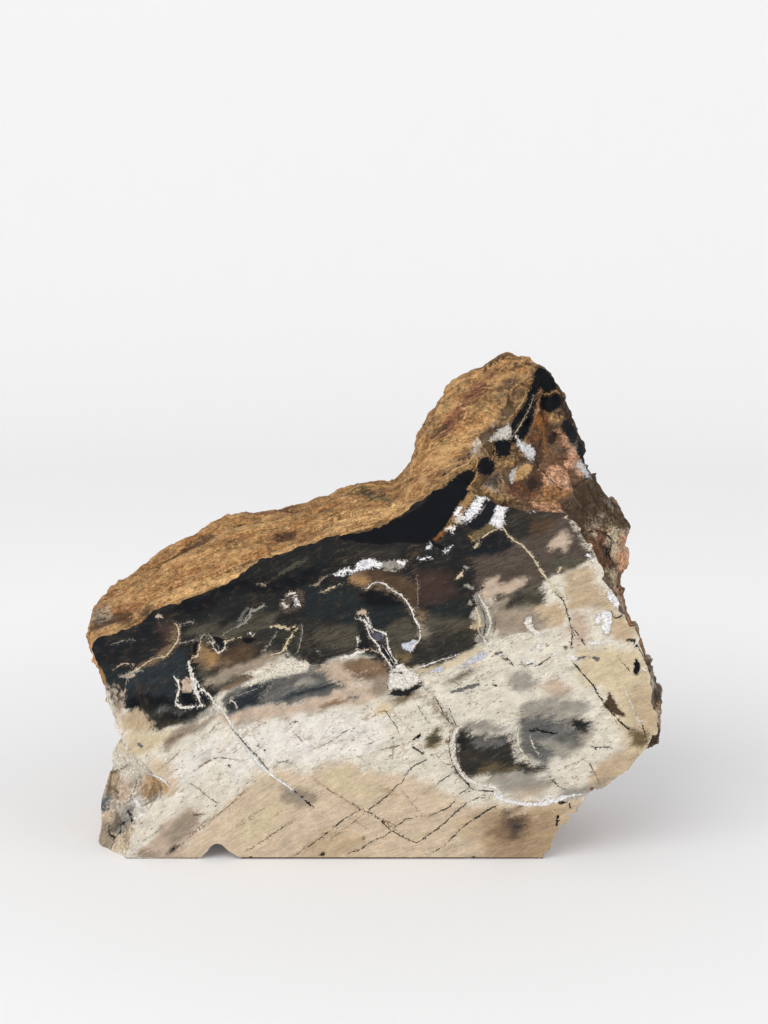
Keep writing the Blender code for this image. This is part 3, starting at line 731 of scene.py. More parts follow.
faceVeins = [
    ("chalk", 0, [(-113, 126, 0.8), (-109.6, 112, 2.2), (-108.6, 107.5, 1.9), (-106, 100.2, 0.5)]),
    ("chalk", 0, [(-107, 110, 0.7), (-101, 105.6, 0.9), (-97.4, 99.4, 0.9), (-92, 94, 0.8),
        (-80, 73, 0.8)]),
    ("snow", 0.8, [(-80, 73), (-70.6, 61.2), (-60, 52), (-50, 44.5)]),
    ("snow", 0, [(-44.8, 40, 0.6), (-43.8, 38.8, 0.6)]),
    ("chalk", 0, [(-122.3, 116.6, 0.4), (-119.8, 113.5, 1), (-119, 109, 0.8), (-121.2, 101.5, 0.8),
        (-119.4, 98.2, 0.9), (-116.5, 97, 1.1), (-104.5, 98.6, 0.3)]),
    ("straw", 0, [(-121, 150.3, 0.3), (-119.2, 148, 0.5), (-118.8, 140.5, 0.6), (-124.5, 132, 0.6),
        (-127, 129.6, 0.6), (-135, 127.4, 0.5), (-148, 119, 0.4)]),
    ("rose", 0.5, [(-150.2, 118), (-151.6, 110), (-153, 106), (-155, 103.5)]),
    ("mauve", 0.4, [(-132, 152), (-125, 141)]),
    ("ash", 0.35, [(-160, 136.6), (-152, 139.2), (-146, 139.6)]),
    ("rose", 0.4, [(-158.5, 121.5), (-154, 124.4), (-150, 124.8), (-146, 123.6)]),
    ("ash", 0.4, [(-120, 138.4), (-117, 137.8), (-112.5, 138.4), (-106.5, 140.4)]),
    ("straw", 0.5, [(-112, 126), (-110.5, 128.5), (-108.3, 129.6), (-107, 132), (-105.3, 140)]),
    ("ash", 0.5, [(-106, 140.6), (-104, 142.4), (-101, 142.8), (-98.8, 141.2), (-95.5, 136)]),
    ("ash", 0.45, [(-118, 149), (-111, 151), (-108.5, 150)]),
    ("cream", 0.5, [(-100.5, 138.6), (-98, 137), (-95.6, 132), (-93, 132.4), (-91, 134.2), (-90.4, 137),
        (-91, 139.8)]),
    ("straw", 0.7, [(-91, 138.7), (-81, 141.6)]),
    ("ash", 0.6, [(-93, 142.4), (-76.5, 152.3)]),
    ("ash", 0.45, [(-57.5, 146), (-65.5, 135), (-69, 132)]),
    ("straw", 0, [(-47, 147, 0.3), (-52.5, 138.8, 0.8), (-54.5, 134.8, 0.7), (-57, 132, 0.5),
        (-62, 130.6, 0.4)]),
    ("ash", 0.45, [(-44, 150), (-43.7, 144), (-44.8, 138), (-46.3, 133), (-48.5, 130)]),
    ("straw", 0.4, [(-33, 169.2), (-30, 169.6), (-25, 172.7), (-23, 173)]),
    ("taupe", 0.45, [(-38, 173.4), (-34.5, 174), (-30.5, 178.4), (-27, 179.8)]),
    ("straw", 0.4, [(-21, 174), (-18.5, 174.1)]),
    ("olive", 0.4, [(-66.5, 174), (-57, 180)]),
    ("ash", 0.5, [(-35, 134), (-33, 131.8)]),
    ("chalk", 0, [(-6, 171.5, 0.3), (-3.5, 172.2, 0.4), (-2, 174.3, 0.5), (1, 175.2, 0.5), (5, 174.8, 0.5),
        (8, 173.4, 0.5), (10, 171, 0.5), (15, 168.4, 0.5), (18, 165.8, 0.5), (22, 159.5, 0.5),
        (25, 152, 0.7), (27.8, 147, 0.6), (27.6, 140, 0.5), (24, 136.3, 0.6), (22, 131.6, 0.4)]),
    ("chalk", 0.6, [(-11, 153), (-8, 152.6), (-5.4, 150.6), (-2.6, 142.8), (-1.2, 140.4), (3, 136),
        (3.4, 133), (8, 127), (9.6, 124), (10.4, 120.5)]),
    ("chalk", 0, [(-4.4, 154, 0.4), (-2.8, 149.5, 0.4), (0, 146.2, 0.5), (7, 143.4, 0.6), (7.8, 139, 0.4),
        (8.6, 135, 0.8), (10, 131, 0.4), (12.2, 128.4, 0.5), (14.4, 124, 0.4)]),
    ("rose", 0.4, [(-12, 133.6), (-2, 133.4), (2, 132)]),
    ("rose", 0.4, [(-15, 117.4), (5, 123)]),
    ("rose", 0.45, [(-39, 123.2), (-28, 125)]),
    ("ash", 0.35, [(-90, 106.5), (-80, 112.8), (-74, 115.5)]),
    ("ash", 0.35, [(-88, 104), (-80, 106.2), (-66, 111.5)]),
    ("ash", 0.4, [(-62, 112.8), (-68, 102)]),
    ("cream", 0.5, [(-90, 100.4), (-87, 101.6), (-85, 100), (-83.5, 96)]),
    ("taupe", 0.4, [(25.8, 180), (26.5, 172), (26, 159)]),
    ("olive", 0.35, [(19.5, 195), (22, 197.6), (26, 198.2), (29, 196), (27, 192)]),
    ("straw", 0.5, [(61, 199), (69, 205.8), (75, 208.4)]),
    ("straw", 0, [(77, 209, 0.5), (83.4, 201.6, 0.5), (89, 198, 0.6), (96.5, 189.6, 0.7),
        (101.5, 181.3, 0.9), (113.5, 166, 0.4)]),
    ("straw", 0.4, [(96, 221), (115, 219), (121.5, 211)]),
    ("chalk", 0.6, [(80, 141.2), (86, 143), (92, 143.6), (98, 143)]),
    ("chalk", 0, [(54, 86, 0.5), (50, 83, 1), (48.6, 77, 1.4), (48.4, 71, 1.3), (49.6, 64, 1.2),
        (52, 58, 1.3), (56, 53, 1.3), (61, 49.6, 1), (73, 46.6, 0.8), (78, 43.5, 0.8)]),
    ("cream", 0, [(63, 168, 0.5), (69, 157, 1.1), (70.6, 150, 0.8), (69, 144, 1), (67, 139, 0.6),
        (75, 134, 0.4)]),
    ("straw", 0, [(61.5, 160, 0.5), (64, 151, 0.9), (63, 146.5, 0.6), (64.6, 142, 0.5)]),
    ("chalk", 0.5, [(72, 138), (78, 139.6), (84, 139)]),
    ("cream", 0.5, [(103, 143), (107, 145.4), (112, 146), (117, 148)]),
    ("cream", 0.45, [(31, 108), (52, 123)]),
    ("chalk", 0.45, [(20, 119), (30, 123.5), (52, 131)]),
    ("cream", 0.7, [(88.3, 84), (88, 78), (89, 73), (91.4, 68.5), (98.6, 60)]),
    ("cream", 0.5, [(96, 79), (97.2, 74), (101.6, 66.5)]),
    ("snow", 0, [(74, 42.5, 0.6), (77, 40, 1.4), (87, 36.4, 1.1), (98, 35.5, 1.2), (104, 36, 1.4),
        (110, 38, 1.8), (120, 40.8, 0.9), (130, 42.5, 0.4)]),
    ("snow", 0.6, [(102, 39.6), (109.5, 41.6)]),
    ("chalk", 0.8, [(153, 108), (162.4, 89)]),
    ("chalk", 0.5, [(31, 2.6), (36, 4)]),
    ("snow", 0.8, [(-143.5, 11.5), (-154, 0.5)]),
    ("snow", 0.7, [(-139.5, 55.3), (-131, 51.7), (-126.6, 46.8)]),
    ("snow", 0.5, [(-47.5, 75), (-43, 73.4), (-38, 72.6)]),
]

faceCracks = [
    ("bark", 0.35, [(-130.5, 60), (-124, 65), (-119.8, 70.2)]),
    ("soot", 0.45, [(-110, 74.5), (-107.3, 77)]),
    ("soot", 0.4, [(-104.5, 78), (-101.3, 80.6), (-94.8, 88.8)]),
    ("bark", 0.5, [(-112.5, 56), (-103.5, 62.4), (-96, 66)]),
    ("smoke", 0.4, [(-115, 49.5), (-110, 47), (-101, 39.2), (-95.3, 35.3)]),
    ("bark", 0.35, [(-81, 81), (-67, 87.5)]),
    ("soot", 0.4, [(-100, 64), (-96, 65.6), (-79, 63.3)]),
    ("soot", 0.4, [(-84.5, 50), (-82.6, 56.2)]),
    ("bark", 0.35, [(-85, 40.5), (-73, 50)]),
    ("bark", 0.45, [(-104, 23), (-88, 36.2), (-76, 48)]),
    ("bark", 0.4, [(-124, 5), (-112, 17.8), (-100, 29)]),
    ("bark", 0.35, [(-120, 8), (-110, 18), (-101, 24)]),
    ("bark", 0.45, [(-38.5, 70.5), (-30, 74), (-22, 79.2)]),
    ("soot", 0.5, [(-23, 78.4), (-18.5, 81.8), (-11, 84.8)]),
    ("bark", 0.45, [(-50, 82), (-45, 77), (-43.2, 74.2)]),
    ("smoke", 0.4, [(-60, 62), (-55.4, 63), (-49, 61)]),
    ("bark", 0.4, [(-38.8, 53.2), (-28, 44.8), (-20, 40), (-10, 32.3)]),
    ("ink", 0, [(-49.6, 44.2, 0.3), (-46, 41.6, 0.6), (-40, 35.6, 0.8), (-37.3, 33.7, 0.4)]),
    ("soot", 0.4, [(-80, 5), (-66, 14), (-47, 27.5)]),
    ("taupe", 0.4, [(-86, 22), (-78, 27.5), (-64, 35.5)]),
    ("soot", 0.5, [(-51, 1), (-30, 16.6), (-20, 25), (-7.5, 33)]),
    ("bark", 0.4, [(-28, 12.6), (-15, 22.4), (-5, 31)]),
    ("soot", 0, [(-5, 31, 0.5), (9, 42, 0.5), (14, 48, 0.4), (17, 50, 0.3), (21, 57, 0.4), (25, 60.5, 0.4),
        (30, 63, 0.5), (40, 69.6, 0.2)]),
    ("soot", 0, [(-14, 37, 0.3), (-11, 34, 0.3), (-1.5, 29.4, 0.5), (2, 27, 0.5), (11, 18.6, 0.6),
        (24, 11.6, 0.4), (27, 11, 0.4)]),
    ("bark", 0.35, [(-4, 31.5), (10, 23.4), (14, 22)]),
    ("soot", 0.4, [(-17, 3), (-14, 5), (-10, 5.6), (-1, 12), (5, 14.2), (8, 16), (18, 25), (22, 26.5),
        (26, 27)]),
    ("taupe", 0.35, [(-12, 25.5), (-10, 23.6), (2, 16)]),
    ("soot", 0, [(27, 11, 0.5), (42, 22.2, 0.6), (53, 33, 0.5), (60, 38, 0.4), (64, 39.6, 0.4),
        (68, 40, 0.3)]),
    ("soot", 0, [(36.5, 4.6, 0.4), (45, 10.6, 0.3), (48, 13.5, 0.6), (55, 21, 0.4), (60, 25, 0.6),
        (72, 33, 0.6), (75, 34, 0.3)]),
    ("smoke", 0.3, [(17, 45), (23, 36.5), (29.6, 28.6)]),
    ("taupe", 0.3, [(22.5, 35), (27, 40), (35.5, 45.6)]),
    ("soot", 0.45, [(38.5, 48), (42, 51.4), (49.5, 56.4)]),
    ("soot", 0, [(33, 27, 0.2), (36, 29, 0.3), (45, 33, 0.6), (48, 36, 0.4), (52, 41.6, 0.4),
        (59, 46, 0.3)]),
    ("pitch", 0, [(50, 57.5, 0.3), (59, 47, 0.6), (62, 45, 0.4), (73, 44, 0.5)]),
    ("bark", 0.4, [(37, 68), (43, 62), (47, 61), (49.6, 59.6)]),
    ("smoke", 0.3, [(11, 78), (11.6, 72), (9.6, 54)]),
    ("bark", 0.4, [(3, 70.5), (14, 72.6), (23.6, 76)]),
    ("bark", 0.5, [(11, 95), (22.5, 82.6)]),
    ("smoke", 0.45, [(5, 97), (12, 87.5), (15.5, 80.5)]),
    ("amber", 0.4, [(-5, 98.6), (1.4, 93), (-4, 90)]),
    ("amber", 0.4, [(1.4, 93), (5, 95), (9, 94.6)]),
    ("steel", 0.45, [(25.5, 100), (31, 91), (34.5, 87)]),
    ("soot", 0.5, [(36.5, 104), (41.3, 96.5), (42.5, 93), (47.5, 86.5)]),
    ("soot", 0.4, [(45.5, 97), (49.5, 87.5), (53, 83.8)]),
    ("soot", 0.5, [(28, 113), (32, 108.4)]),
    ("bark", 0.4, [(24, 103), (28.5, 104), (37, 108)]),
    ("soot", 0.4, [(45, 115), (50.3, 113)]),
    ("soot", 0.5, [(7, 112.5), (8.4, 109.5), (8.4, 105.5)]),
    ("mauve", 0.5, [(46.6, 82), (46, 75), (46.6, 68), (48.2, 62), (50.6, 57), (54.4, 52)]),
    ("umber", 0.5, [(51, 79), (50.4, 72), (51.4, 65), (54, 59), (58, 54.6)]),
    ("soot", 0.4, [(62.6, 166), (64, 161), (66.6, 156), (67.6, 150), (66.6, 144), (68.6, 139)]),
    ("mauve", 0.45, [(72.6, 153), (73.4, 147), (72, 141)]),
    ("taupe", 0.4, [(-26, 119.6), (-16.6, 110.6)]),
    ("soot", 0.5, [(-17.6, 112), (-16.6, 110.8)]),
    ("smoke", 0, [(-87, 84, 0.3), (-76.5, 71, 0.9), (-72.5, 67, 0.8), (-65.5, 58, 0.4)]),
    ("soot", 0.4, [(107, 54.6), (112, 48.6), (119, 44.2)]),
    ("soot", 0.35, [(113, 57.5), (130.3, 65)]),
    ("bark", 0, [(132, 62, 0.5), (137, 53, 0.3), (138.3, 49, 0.3)]),
    ("moss", 0.4, [(135, 75), (146, 75)]),
    ("soot", 0, [(108, 170, 0.3), (113.6, 165, 0.5), (115.6, 161, 0.5), (120, 145, 0.5),
        (119.6, 136, 0.4)]),
    ("soot", 0.5, [(119.3, 149), (126.6, 139), (128, 136)]),
    ("soot", 0.6, [(120.5, 127), (124, 122), (133, 112), (137, 105), (148, 91), (154, 85), (157, 83.2),
        (160, 83.6)]),
    ("bark", 0.4, [(157, 83), (163.4, 65)]),
    ("bistre", 0.5, [(163, 88), (165, 84), (168.3, 71)]),
    ("soot", 0, [(79, 130, 0.4), (82, 127.4, 0.6), (84.4, 124.2, 0.6), (86, 123.2, 0.3), (90, 125, 0.4),
        (92, 124, 0.5), (96, 125, 0.4), (99, 124, 0.5), (102.4, 125.4, 0.6), (108, 130, 0.3)]),
    ("taupe", 0.35, [(74, 96), (92, 92), (98, 93), (126, 102)]),
    ("soot", 0.4, [(148, 129.4), (155.4, 121), (158, 119)]),
    ("soot", 0, [(143.6, 158, 0.4), (145, 154.4, 0.5), (147.3, 153.4, 0.7), (152.6, 157, 0.5)]),
    ("soot", 0.4, [(161, 139), (160.6, 135), (163, 131), (164, 127)]),
    ("smoke", 0.4, [(-131.6, 22), (-133.6, 18.6), (-143.5, 11.5)]),
    ("bark", 0.35, [(-54, 33), (-66, 25)]),
    ("taupe", 0.35, [(-96, 14), (-80, 24), (-74, 27)]),
    ("taupe", 0.35, [(-90, 30), (-76, 39)]),
]

# the same for the rough skin, as seen past the polished face from where the camera stands

skinGround = [
    # broken rock at the lower left
    ("cream", 3, [(-182, 70), (-168, 92), (-150, 98), (-134, 90), (-124, 60), (-122, 40), (-124, -8),
        (-180, -8)]),
    ("rose", 4, [(-170, 66), (-158, 70), (-146, 58), (-148, 40), (-160, 36), (-170, 50)]),
    ("sand", 4, [(-172, 34), (-160, 30), (-148, 16), (-152, 4), (-174, 4)]),
    ("cream", 4, [(-164, 70), (-156, 78), (-144, 66), (-142, 56), (-154, 50), (-164, 58)]),
    ("steel", 2, [(-169, 36), (-166, 41), (-163.5, 42), (-162, 38), (-164, 33), (-168, 30)]),
    ("mauve", 2, [(-163, 43, 0.8), (-160, 46, 1.2), (-158, 41, 1.2), (-158.5, 36, 0.8)]),
    ("ash", 1.6, [(-147, 51.5, 0.8), (-148, 47, 1.3), (-148.6, 44.5, 0.8)]),
    ("taupe", 2, [(-152, 57, 0.9), (-149, 58, 0.8)]),
    ("honey", 2.5, [(-141, 53), (-135, 55), (-130, 52), (-126, 47), (-129, 42), (-141, 37), (-143, 44)]),
    ("buff", 3, [(-168, 52), (-160, 56), (-156, 50), (-162, 46)]),
    ("chalk", 2.5, [(-150, 37), (-146, 40), (-143, 36), (-144, 30), (-149, 27), (-152, 32)]),
    ("ash", 2.5, [(-160, 24), (-156, 32), (-150, 34), (-148, 26), (-152, 18), (-160, 14), (-165, 18)]),
    ("chalk", 3, [(-146, 18), (-140, 24), (-134, 20), (-138, 12), (-148, 6)]),
    ("taupe", 4, [(-172, 16), (-166, 24), (-160, 12), (-164, 4), (-172, 6)]),
    ("buff", 3, [(-152, 88), (-146, 92), (-140, 90), (-142, 82), (-150, 80), (-154, 84)]),
    ("straw", 3, [(-154, 80), (-146, 78), (-143, 70), (-150, 66), (-156, 72)]),
    ("taupe", 2.5, [(-152, 82, 0.8), (-150, 77, 1.4), (-152, 72, 0.8)]),
    # left end of the rind
    ("gold", 4, [(-176, 150), (-168, 152), (-160, 146), (-168, 138), (-178, 140)]),
    ("salmon", 4, [(-180, 132), (-170, 134), (-160, 140), (-168, 128), (-180, 118)]),
    ("taupe", 5, [(-172, 152), (-162, 160), (-156, 152), (-164, 148)]),
    ("bistre", 1.6, [(-153, 145.5, 1.3), (-145, 151.6, 1.2)]),
    ("umber", 2.5, [(-160, 142, 1), (-150, 146, 1.8), (-134, 158, 1)]),
    # crest and peak
    ("moss", 2, [(-9, 234, 0.8), (-4, 229.6, 2), (2, 227, 2.4), (8, 225, 1.6), (10, 221, 1)]),
    ("bistre", 1.4, [(-4, 231, 0.5), (2, 229, 1), (8, 230, 1)]),
    ("wheat", 3, [(-130, 160, 1), (-86, 177, 3), (-40, 197, 1.6)]),
    ("wheat", 3, [(-34, 206, 1.4), (-16, 212, 3), (4, 216, 3), (20, 222, 1.6)]),
    ("gold", 3, [(40, 250, 2), (62, 266, 3.4), (80, 286, 2)]),
    ("maroon", 3, [(42, 262), (68, 293), (74, 297), (70, 302), (55, 288), (42, 269)]),
    ("bistre", 1.5, [(-60, 201, 0.8), (-50, 204, 1.2)]),
    ("bistre", 1.4, [(64, 290.5, 1.2), (68, 292.5, 1.6)]),
    ("mauve", 3, [(74, 287), (82, 296), (91, 299), (92, 291), (84, 284), (76, 281)]),
    ("moss", 2, [(38, 268, 0.8), (42, 278, 1.6), (50, 290, 1.8), (58, 298, 1)]),
    ("plum", 3, [(42, 244), (58, 254), (56, 247), (47, 241), (40, 240)]),
    ("gold", 3, [(70, 279, 1), (80, 284, 2.5), (90, 296, 2)]),
    ("bistre", 2, [(64, 303, 0.8), (72, 308, 1.4), (80, 310, 1.4), (88, 308, 1.2), (96, 304, 1)]),
    # under the edge of the rind: gold and amber crumbs round the black band
    ("amber", 1.6, [(30, 228), (42, 240), (60, 252), (68, 260), (72, 267), (79, 274), (90, 294), (94, 304),
        (99, 306), (107, 302), (114, 290), (120, 276), (120, 250), (110, 226), (60, 216)]),
    ("gold", 1.6, [(62, 232), (70, 240), (88, 252), (92, 262), (96, 258), (92, 246), (84, 238), (74, 230),
        (64, 224)]),
    ("mauve", 1.6, [(66, 234), (71, 240), (78, 241), (80, 236), (74, 231)]),
    ("honey", 2, [(78, 240), (86, 248), (93, 252), (96, 248), (92, 240), (86, 234), (80, 230), (76, 234)]),
    ("rust", 2, [(92, 262), (96, 284), (100, 286), (107, 266), (108, 258), (101, 244), (97, 250)]),
    ("ember", 1.6, [(97, 284, 0.8), (98.4, 275, 1.6), (101, 268, 1.4), (100, 260, 1)]),
    ("bistre", 1.2, [(94, 268, 0.6), (96, 260, 1.2), (98, 252, 1)]),
    ("gold", 1.2, [(105, 277, 1.5), (108, 282, 2), (112, 283, 2.4), (116, 278, 2), (115, 272, 2),
        (108, 271.5, 1.8)]),
    ("bistre", 1.2, [(110.6, 276.4, 1.8), (113, 275, 1.2)]),
    ("umber", 2, [(104, 270), (112, 270), (120, 262), (122, 254), (116, 256), (110, 264), (104, 266)]),
    ("salmon", 1.8, [(103, 258), (108, 265), (113, 266), (118, 260), (130, 239), (127, 232), (118, 229),
        (109, 230), (103, 235), (99, 240), (102, 248)]),
    ("rose", 2, [(105, 262, 0.8), (107, 258, 1.6), (117, 250, 1)]),
    ("bistre", 1.6, [(100, 230, 1), (106, 226, 1.6), (114, 225, 1.6)]),
    ("bistre", 1.6, [(119, 234, 1.2), (124, 230, 2.4), (128, 224, 2)]),
    ("maroon", 1.8, [(80, 234), (88, 242), (96, 245), (102, 240), (103, 230), (96, 222), (86, 224),
        (80, 228)]),
    ("rust", 1.6, [(85, 236, 1.4), (90, 231, 2.2), (98, 228, 1.8)]),
    ("tawny", 2, [(104, 232), (122, 229), (130, 234), (128, 226), (116, 221), (104, 222)]),
    # painted shade: a dark strip along the right edge of the peak, where it turns away from the light
    ("bistre", 2, [(112, 290), (128, 264), (134, 248), (140, 236), (136, 234), (131, 242), (122, 263),
        (116, 270), (112, 278), (108, 288)]),
    ("umber", 2, [(112, 222), (120, 229), (126, 237), (133, 239), (154, 213), (151, 205), (146, 210),
        (141, 212), (138, 215), (130, 207), (125, 204), (120, 209)]),
    ("taupe", 1.6, [(138.5, 219), (140.5, 214), (137, 208.6), (132, 206.6), (129.6, 209), (133.6, 212.4)]),
    ("moss", 2, [(142, 212), (148, 212), (152, 208), (150, 205), (144, 207)]),
    ("straw", 1.6, [(140.6, 203), (145, 207.4), (149.4, 205), (150.6, 199), (145, 187), (142, 184),
        (140.4, 190), (141.4, 197)]),
    ("maroon", 1.8, [(125, 203), (129, 207.6), (139, 205), (142, 201), (140.4, 196), (149, 178), (144, 176),
        (133.6, 189)]),
    ("rust", 1.6, [(128, 200, 1), (134, 196, 1.6), (143, 182, 1.2)]),
    ("straw", 1.2, [(127.6, 203.4, 1.2), (131, 204.6, 1.5), (134.6, 202.4, 1)]),
    ("salmon", 3, [(149, 202), (156, 200), (158, 186), (154, 178), (148, 180), (147, 188), (150, 196)]),
    ("straw", 2, [(141, 181), (146, 182), (150, 176), (147, 172), (142, 174)]),
    ("rust", 2, [(147, 177), (152, 178), (160, 156), (166, 144), (168, 136), (164, 138), (149, 168)]),
    ("umber", 2, [(152, 166, 1), (162, 146, 1.4)]),
    ("bistre", 1.6, [(165, 131, 1.2), (172.5, 118, 2.2), (175.5, 106, 2.2), (176, 102, 1.2)]),
    ("ink", 1.4, [(173.5, 104.6, 1.6), (174, 101.5, 2)]),
    ("tawny", 3, [(176, 98, 1.4), (178, 90, 2)]),
    ("bistre", 2, [(171, 87), (175, 84), (178, 78), (177, 70), (171, 66), (166, 70)]),
    ("taupe", 3, [(112, 40), (120, 43), (127, 40), (124, 28), (116, 20), (110, 24)]),
    ("ash", 2, [(114, 34, 1.4), (119, 28, 1.8), (117, 22, 1)]),
    ("salmon", 4, [(130, 48), (142, 56), (150, 58), (146, 46), (134, 36)]),
]

skinAreas = [
    # the black band that runs up under the rind to the top
    ("ink", 1.4, [(36, 226), (48, 239.6), (54, 243.6), (60.6, 243), (60, 237), (54, 230), (47, 224)]),
    ("ink", 1.4, [(59.6, 246), (63, 251), (68, 252), (72, 248.4), (71, 243), (66.6, 240.6), (61.6, 241.6)]),
    ("ink", 1.4, [(70, 256), (73, 261.6), (78.6, 262.6), (82, 258.6), (80.4, 253.4), (75.6, 251.6),
        (71, 252.6)]),
    ("ink", 1.2, [(79, 264.6), (82, 272), (90, 285), (96.6, 303), (99.6, 303.4), (94, 272), (91, 265),
        (88, 260.6), (84.6, 259.6)]),
    ("ink", 1.2, [(96, 303), (99.4, 305), (105, 302), (109, 297), (107.4, 291.6), (102.6, 290), (98, 295)]),
    ("ink", 1.2, [(98.6, 289), (103, 290.4), (109.4, 289), (112.6, 284.6), (109, 280), (103.6, 278),
        (99, 281.6)]),
    ("pitch", 1.4, [(111, 271), (114, 274), (118, 270.6), (121, 264), (119, 260), (115, 264)]),
    ("pitch", 1.4, [(122, 262), (125, 258), (127, 250), (130, 244), (127, 243), (123, 250), (120.6, 257)]),
    ("chalk", 2.4, [(69, 262), (79, 271), (82, 267), (80, 263), (75, 262)]),
    ("snow", 2, [(85, 262), (92, 259), (95.4, 255.6), (96, 250.6), (93.6, 249), (87, 257.6)]),
    ("wheat", 1.4, [(83, 237), (84, 242.6), (88, 246.6), (92, 248), (95, 246), (92.4, 241), (88, 237.6)]),
    ("snow", 1.2, [(81.4, 236), (82, 243.4), (84.6, 246), (84.6, 240), (83.4, 236)]),
    ("snow", 2, [(121, 246), (124, 242), (127.6, 239), (129.4, 240.4), (123.4, 249)]),
    ("bistre", 1.2, [(92, 236), (95, 239), (98, 237), (97, 232.4), (93.6, 231)]),
    ("bistre", 1.2, [(103, 262), (106, 267), (109, 264), (106.6, 259.4)]),
]

skinSpots = [
    ("ink", 0, [(92, 289, 1.4), (94, 291, 1.4)]),
    ("chalk", 0, [(84.6, 263.6, 1), (87, 260.8, 0.7)]),
    ("chalk", 0, [(83.6, 242.6, 0.8), (82.8, 238, 0.6)]),
    ("pitch", 0, [(139.8, 196.6, 0.9), (140, 191, 0.8)]),
    ("pitch", 0, [(147, 173, 0.9)]),
    ("ink", 0, [(-152, 31, 1), (-150.6, 28.6, 1)]),
    ("ink", 0, [(-150, 25, 0.9)]),
    ("pitch", 0, [(-155, 24, 1.1), (-157, 22, 0.9)]),
    ("soot", 0, [(-164, 22, 0.4), (-164.5, 18, 0.7), (-162, 14.6, 0.9), (-159, 15, 0.6), (-157, 19, 0.5)]),
    ("snow", 0, [(-147, 37, 1.3), (-145, 35, 0.9)]),
    ("snow", 0, [(-148, 26.4, 0.9)]),
    ("snow", 0, [(-145, 28.5, 1.1), (-140, 29.2, 1.3), (-138, 32, 1.1)]),
    ("snow", 0, [(-136, 36, 0.9), (-133, 39, 0.9)]),
    ("snow", 0, [(-151, 83, 0.8), (-150, 77, 0.7)]),
    ("snow", 0, [(-152, 74, 0.8), (-152, 71, 0.7)]),
    ("straw", 0, [(-155, 143, 0.9), (-150, 142.6, 0.9)]),
    ("ink", 0, [(115, 36.5, 1.5), (117, 37, 0.9)]),
    ("pitch", 0, [(121, 35, 0.9), (122, 32, 0.8)]),
    ("snow", 0, [(118, 24, 0.9)]),
]

skinVeins = [
    ("gold", 0.7, [(62, 244), (60.6, 239), (56, 232), (50, 226)]),
    ("gold", 0.6, [(59.4, 244), (62, 249), (60, 252.4)]),
    ("gold", 0.6, [(70, 250), (72.6, 254.6), (70.6, 258)]),
    ("straw", 0.35, [(80.4, 262), (84, 266), (92, 280), (94.6, 288)]),
    ("gold", 0.45, [(98, 290), (103, 289), (108, 291), (111, 288)]),
    ("gold", 0.4, [(99, 292), (96.4, 276), (93, 268)]),
    ("ember", 0.45, [(104, 276), (101, 268), (102, 258), (106, 250)]),
    ("wheat", 0.5, [(40, 238), (48, 244), (56, 248), (60, 254), (67, 262)]),
    ("wheat", 0.5, [(89.6, 289), (87.4, 283.6), (77, 270)]),
    ("ash", 0.5, [(-140, 48.4), (-147, 41), (-151, 38), (-155, 36)]),
    ("snow", 0.8, [(-139, 55.4), (-131, 51.6), (-127, 46.6)]),
    ("snow", 0.9, [(-143, 11), (-154, 0)]),
    ("cream", 0.6, [(-150, 68), (-146, 63.5)]),
    ("wheat", 0.9, [(-128, 160.5), (-121, 164.5), (-99, 172.6)]),
    ("wheat", 0.9, [(-92, 175.5), (-60, 188)]),
    ("wheat", 0.8, [(-52, 191.6), (-40, 196.6)]),
    ("wheat", 0.8, [(-30, 200.6), (-10, 208), (0, 210)]),
]

skinCracks = [
    ("smoke", 0.4, [(-132, 22), (-134, 18.4), (-143, 11.4)]),
    ("soot", 0.4, [(-149, 81), (-148, 78.4), (-146.4, 77)]),
    ("bark", 0.4, [(-172, 60), (-164, 56), (-156, 58), (-150, 62)]),
    ("mauve", 0.4, [(-168, 78), (-160, 74), (-154, 78)]),
    ("bistre", 0.5, [(108, 300), (111, 290), (112, 282), (117, 272)]),
    ("bistre", 0.5, [(100, 262), (97, 254), (98, 246), (112, 232)]),
    ("bistre", 0.5, [(118, 232), (126, 238), (132, 240)]),
    ("bistre", 0.5, [(125, 204), (132, 207), (139, 205), (143, 200), (141, 192), (146, 184)]),
]

paintSetup = {
    "curveSteps": 4,       # straight pieces between two points of an outline
    "waver": 2.4,          # mm, how far the large areas' outlines wander
    "fineWaver": 1.3,      # mm, the same at a small scale
    "drag": 2.4,           # mm, how far the colours are drawn out along the grain
    "slip": (2.4, 1.8),    # mm, how far the second coat lies from the first; the fibres mix them
    "areaWaver": 0.3,      # share of all three that the sharp areas take
    "skinWaver": 0.6,      # share of the wander that the marks on the skin take
    "skinSlip": (1.5, -2.0),    # mm, the slip of the skin's second coat
    "reach": 4.5,          # mm outside a marking where its distance is still kept
}


def smoothLine(points, closed):
    # a round curve through every point
    rows = np.array(points, dtype=float)
    if len(rows) < 3:
        return rows
    if closed:
        rows = np.vstack([rows[-1:], rows, rows[:2]])
    else:
        rows = np.vstack([2 * rows[:1] - rows[1:2], rows, 2 * rows[-1:] - rows[-2:-1]])
    t = np.linspace(0, 1, paintSetup["curveSteps"], endpoint=False)[:, None]
    line = []
    for a, b, c, d in zip(rows, rows[1:], rows[2:], rows[3:]):
        bow = (2 * a - 5 * b + 4 * c - d) * t ** 2 + (3 * b - a - 3 * c + d) * t ** 3
        line.append(b + 0.5 * ((c - a) * t + bow))
    if not closed:
        line.append(rows[-2:-1])
    return np.vstack(line)


